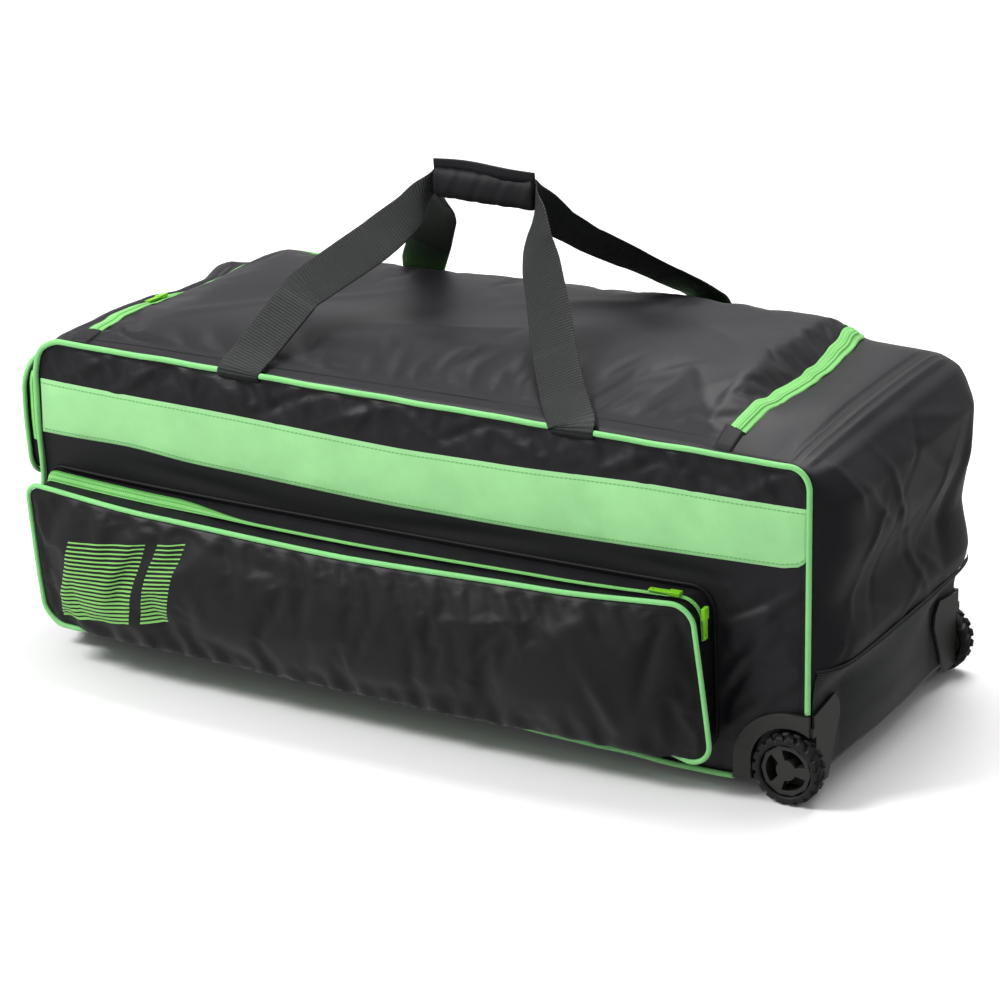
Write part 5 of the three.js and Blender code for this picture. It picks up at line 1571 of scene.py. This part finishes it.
        across = np.tile([0.0, 1.0, 0.0], (60, 1))
        up = np.tile([0.0, -0.12, 1.0], (60, 1))
        grid, uv = strip(line, across, up, profile)
        marks = {"seam": np.array(9.0), "run": np.array(0.0)}
        made = surface("grip_flap", grid, uv, around=True, ends=True, marks=marks)
        face_out(made)
        dress(made, NYLON)


@dataclass
class SkidPanel:
    """The ribbed panel low on the wheel end, sizes in mm."""

    box: MainBox
    top: float = 134.0
    lift: float = 1.9

    def build(self) -> None:
        """Lays a grid on the end from base to top, proud of it, with a bound double edge along its top."""
        loop = self.box.loop(3.0)
        pick = (loop.nu > 0.999) & (loop.v <= self.top + 1)
        part = Loop(loop.u[pick], loop.v[pick], loop.nu[pick], loop.nv[pick], loop.s[pick], loop.corners)
        t = np.linspace(-0.985, 0.985, 120)[:, None]
        points = self.box.side_point(part, t, np.zeros_like(t))
        below = (self.top - part.v)[None]
        hem = soft(below / 1.5) * (1.8 * bell((below - 5) / 4)) + self.lift * soft(below / 1.2)
        points[..., 0] += 0.4 + hem
        uv = grid_of(part.v[None], t * self.box.depth / 2)
        centre = (points[1:, 1:] + points[:-1, :-1]) / 2
        keep = ~self.box.wheel_corner(centre[..., 0], centre[..., 1], centre[..., 2], 1.0)
        rows = np.minimum(np.abs(below - 3.5), np.abs(below - 9.5))
        marks = {"seam": np.broadcast_to(rows, points.shape[:2]), "run": points[..., 1]}
        made = surface("skid_cloth", points, uv, keep=keep, inside=MIDDLE, marks=marks)
        dress(made, SKID_CLOTH, stands_for=("skid_panel",))


@dataclass
class Wheels:
    """Housings, tyres and hubs, sizes in mm."""

    radius: float = 37.95
    lug_depth: float = 3.0
    lugs: int = 18
    width: float = 22.0
    bore: float = 28.3

    def build(self) -> None:
        """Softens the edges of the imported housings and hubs, and makes the lugged tyres."""
        for end, body in (("front", "wheel_front"), ("back", "wheel_back")):
            softened("wheel_housing_" + end, "housing_" + end, MOULDED, "bag", 1.1)
            softened("wheel_hub_" + end, "hub_" + end, MOULDED, body, 0.7)
            self._tyre(end, body)

    def _tyre(self, end: str, body: str) -> None:
        """The tread: radius by angle and width, two rows of square lugs half a step apart."""
        low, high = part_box("wheel_tyre_" + end)
        middle = (low + high) / 2
        turns, across = self.lugs * 14, 33
        angle = np.arange(turns) / turns * 2 * math.pi
        w = np.linspace(-1, 1, across)
        # The grooves slant outwards, so that the two rows meet in arrows
        step = angle[:, None] / (2 * math.pi) * self.lugs + 0.5 * (w[None] > 0) + 0.45 * np.abs(w[None])
        saw = np.abs(step - np.floor(step) - 0.5) * 2
        lug = soft((0.74 - saw) / 0.16)
        groove = soft((np.abs(w[None]) - 0.06) / 0.08)
        shoulder = 2.4 * np.abs(w[None]) ** 6
        radius = self.radius - self.lug_depth * (1 - lug * groove) - shoulder
        y = np.broadcast_to(w[None] * self.width / 2, radius.shape)
        walls = np.array([0.9, 0.5, 0.1, 0.0])
        edge = radius[:, -1:]
        far = self.bore + (edge - self.bore) * walls[None]
        first = radius[:, :1]
        near = self.bore + (first - self.bore) * walls[::-1][None]
        ring = np.concatenate([near, radius, far], 1)
        half = self.width / 2
        wide = np.concatenate(
            [
                np.broadcast_to(np.array([-half + 1.5, -half, -half, -half])[None], near.shape),
                y,
                np.broadcast_to(np.array([half, half, half, half - 1.5])[None], far.shape),
            ],
            1,
        )
        points = np.stack(
            [ring * np.cos(angle)[:, None], wide, ring * np.sin(angle)[:, None]],
            -1,
        )
        closed = np.concatenate([points, points[:1]], 0)
        made = surface("tyre_" + end, closed, around=True)
        # The tyre stands upright on its own axis, without the bag's lean
        flat = closed.reshape(-1, 3) / 1000 + np.array(middle)
        made.data.vertices.foreach_set("co", flat.astype(np.float32).ravel())
        made.data.update()
        face_out(made)
        dress(made, RUBBER, body, ("wheel_tyre_" + end,))


def softened(node: str, name: str, finish: Finish, body: str, width: float) -> None:
    """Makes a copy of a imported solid, which stands for it, with its points merged and hard edges rounded.

    Args:
        node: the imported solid.
        name: the new piece's name.
        finish: its finish.
        body: the body that it rides on.
        width: the width of the rounded edges in mm.
    """
    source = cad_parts[node]
    mesh = source.data.copy()
    mesh.name = name
    build = bmesh.new()
    build.from_mesh(mesh)
    bmesh.ops.remove_doubles(build, verts=build.verts, dist=1e-5)
    bmesh.ops.dissolve_limit(build, angle_limit=math.radians(2), verts=build.verts, edges=build.edges)
    build.to_mesh(mesh)
    build.free()
    made = bpy.data.objects.new(name, mesh)
    bpy.context.scene.collection.objects.link(made)
    bevel = made.modifiers.new("edges", "BEVEL")
    bevel.width = width / 1000
    bevel.segments = 3
    bevel.limit_method = "ANGLE"
    bevel.angle_limit = math.radians(40)
    bevel.harden_normals = False
    mesh.shade_smooth()
    mesh.set_sharp_from_angle(angle=math.radians(38))
    dress(made, finish, body, (node,))


@dataclass
class Studio:
    """The floor, the lights and the camera at the photograph's angle."""

    azimuth: float = 27.54
    elevation: float = 21.65
    distance: float = 5.65231
    lens: float = 190.07
    target: tuple[float, float, float] = (-0.28, 0.0, 183.74)
    floor: str = "f4f4f4"

    def build(self) -> None:
        """Sets up the floor, three soft lights, the sky and the camera."""
        self._floor()
        self._light("key", (-2.4, -2.2, 3.4), 1.4, 165)
        self._light("fill", (3.6, -0.6, 2.6), 1.4, 10)
        self._light("top", (0.2, 1.4, 3.6), 2.2, 128)
        self._sky()
        bpy.context.scene.view_settings.view_transform = "Standard"
        self._camera()

    def _sky(self) -> None:
        """A white sky, 0.7 strong, that dims to 0.25 towards the wheel end."""
        world = bpy.data.worlds.new("studio_sky")
        bpy.context.scene.world = world
        world.use_nodes = True
        tree = world.node_tree
        place = add(tree, "ShaderNodeTexCoord").outputs["Generated"]
        way = add(tree, "ShaderNodeSeparateXYZ", links={"Vector": place})
        dim = {"Value": way.outputs["X"], "From Min": -0.2, "From Max": 0.6, "To Min": 0.7, "To Max": 0.25}
        strength = add(tree, "ShaderNodeMapRange", links=dim)
        sky = tree.nodes["Background"]
        tree.links.new(strength.outputs["Result"], sky.inputs["Strength"])
        sky.inputs["Color"].default_value = (1, 1, 1, 1)

    def _floor(self) -> None:
        """A wide pale floor."""
        mesh = bpy.data.meshes.new("floor")
        reach = 30.0
        corners = [(-reach, -reach, 0), (reach, -reach, 0), (reach, reach, 0), (-reach, reach, 0)]
        mesh.from_pydata(corners, [], [(0, 1, 2, 3)])
        made = bpy.data.objects.new("floor", mesh)
        bpy.context.scene.collection.objects.link(made)
        paint = bpy.data.materials.new("pale_floor")
        paint.use_nodes = True
        shader = paint.node_tree.nodes["Principled BSDF"]
        shader.inputs["Base Color"].default_value = linear(self.floor)
        shader.inputs["Roughness"].default_value = 0.9
        mesh.materials.append(paint)
        # The overlit floor would mirror in the cloth, so gloss sees the dimmer sky instead
        made.visible_glossy = False

    def _light(self, name: str, place: tuple[float, float, float], size: float, power: float) -> None:
        """A square light that looks at the bag's middle."""
        data = bpy.data.lights.new(name, "AREA")
        data.size = size
        data.energy = power
        made = bpy.data.objects.new(name, data)
        made.location = place
        aim = Vector((0.0, 0.0, 0.2)) - Vector(place)
        made.rotation_euler = aim.to_track_quat("-Z", "Y").to_euler()
        bpy.context.scene.collection.objects.link(made)

    def _camera(self) -> None:
        """The camera: a long lens, turned and raised as in the photograph."""
        az, el = math.radians(self.azimuth), math.radians(self.elevation)
        back = Vector((math.sin(az) * math.cos(el), -math.cos(az) * math.cos(el), math.sin(el)))
        # The target is measured from the middle of the left base edge's arc, in the unturned bag
        arc = (-436.0, 0.0, 14.0)
        target = Vector(BAG.place(np.array([arc]))[0]) + (Vector(self.target) - Vector(arc)) / 1000
        data = bpy.data.cameras.new("camera")
        data.lens = self.lens
        data.sensor_width = 36.0
        data.clip_end = 100.0
        made = bpy.data.objects.new("camera", data)
        made.location = target + back * self.distance
        made.rotation_euler = (-back).to_track_quat("-Z", "Y").to_euler()
        bpy.context.scene.collection.objects.link(made)
        bpy.context.scene.camera = made


def main() -> None:
    """Builds the sub-assemblies in order."""
    logging.basicConfig(level=logging.INFO, format="%(name)s: %(message)s")
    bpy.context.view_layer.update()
    Studio().build()
    box = MainBox()
    lid = Lid(box)
    box.build(lid)
    lid.build()
    Piping(box).build()
    Band(box).build()
    pocket = Pocket(box)
    pocket.build()
    pocket.zip_tape("pocket_zip_tape", "pocket_zip", 0.465, 0.9, 11.0, 0.6)
    pocket.welt()
    end_pocket = EndPocket(box)
    end_pocket.build()
    end_pocket.zip_tape("end_pocket_zip_tape", "end_pocket_zip", 0.84, 0.93, 9.0, 0.6)
    Handles(box).build()
    SkidPanel(box).build()
    Wheels().build()
    for node in ("pocket_slider_left", "pocket_slider_right", "lid_zip_slider"):
        softened(node, node + "_pull", PULL, "bag", 0.5)


if __name__ == "__main__":
    main()
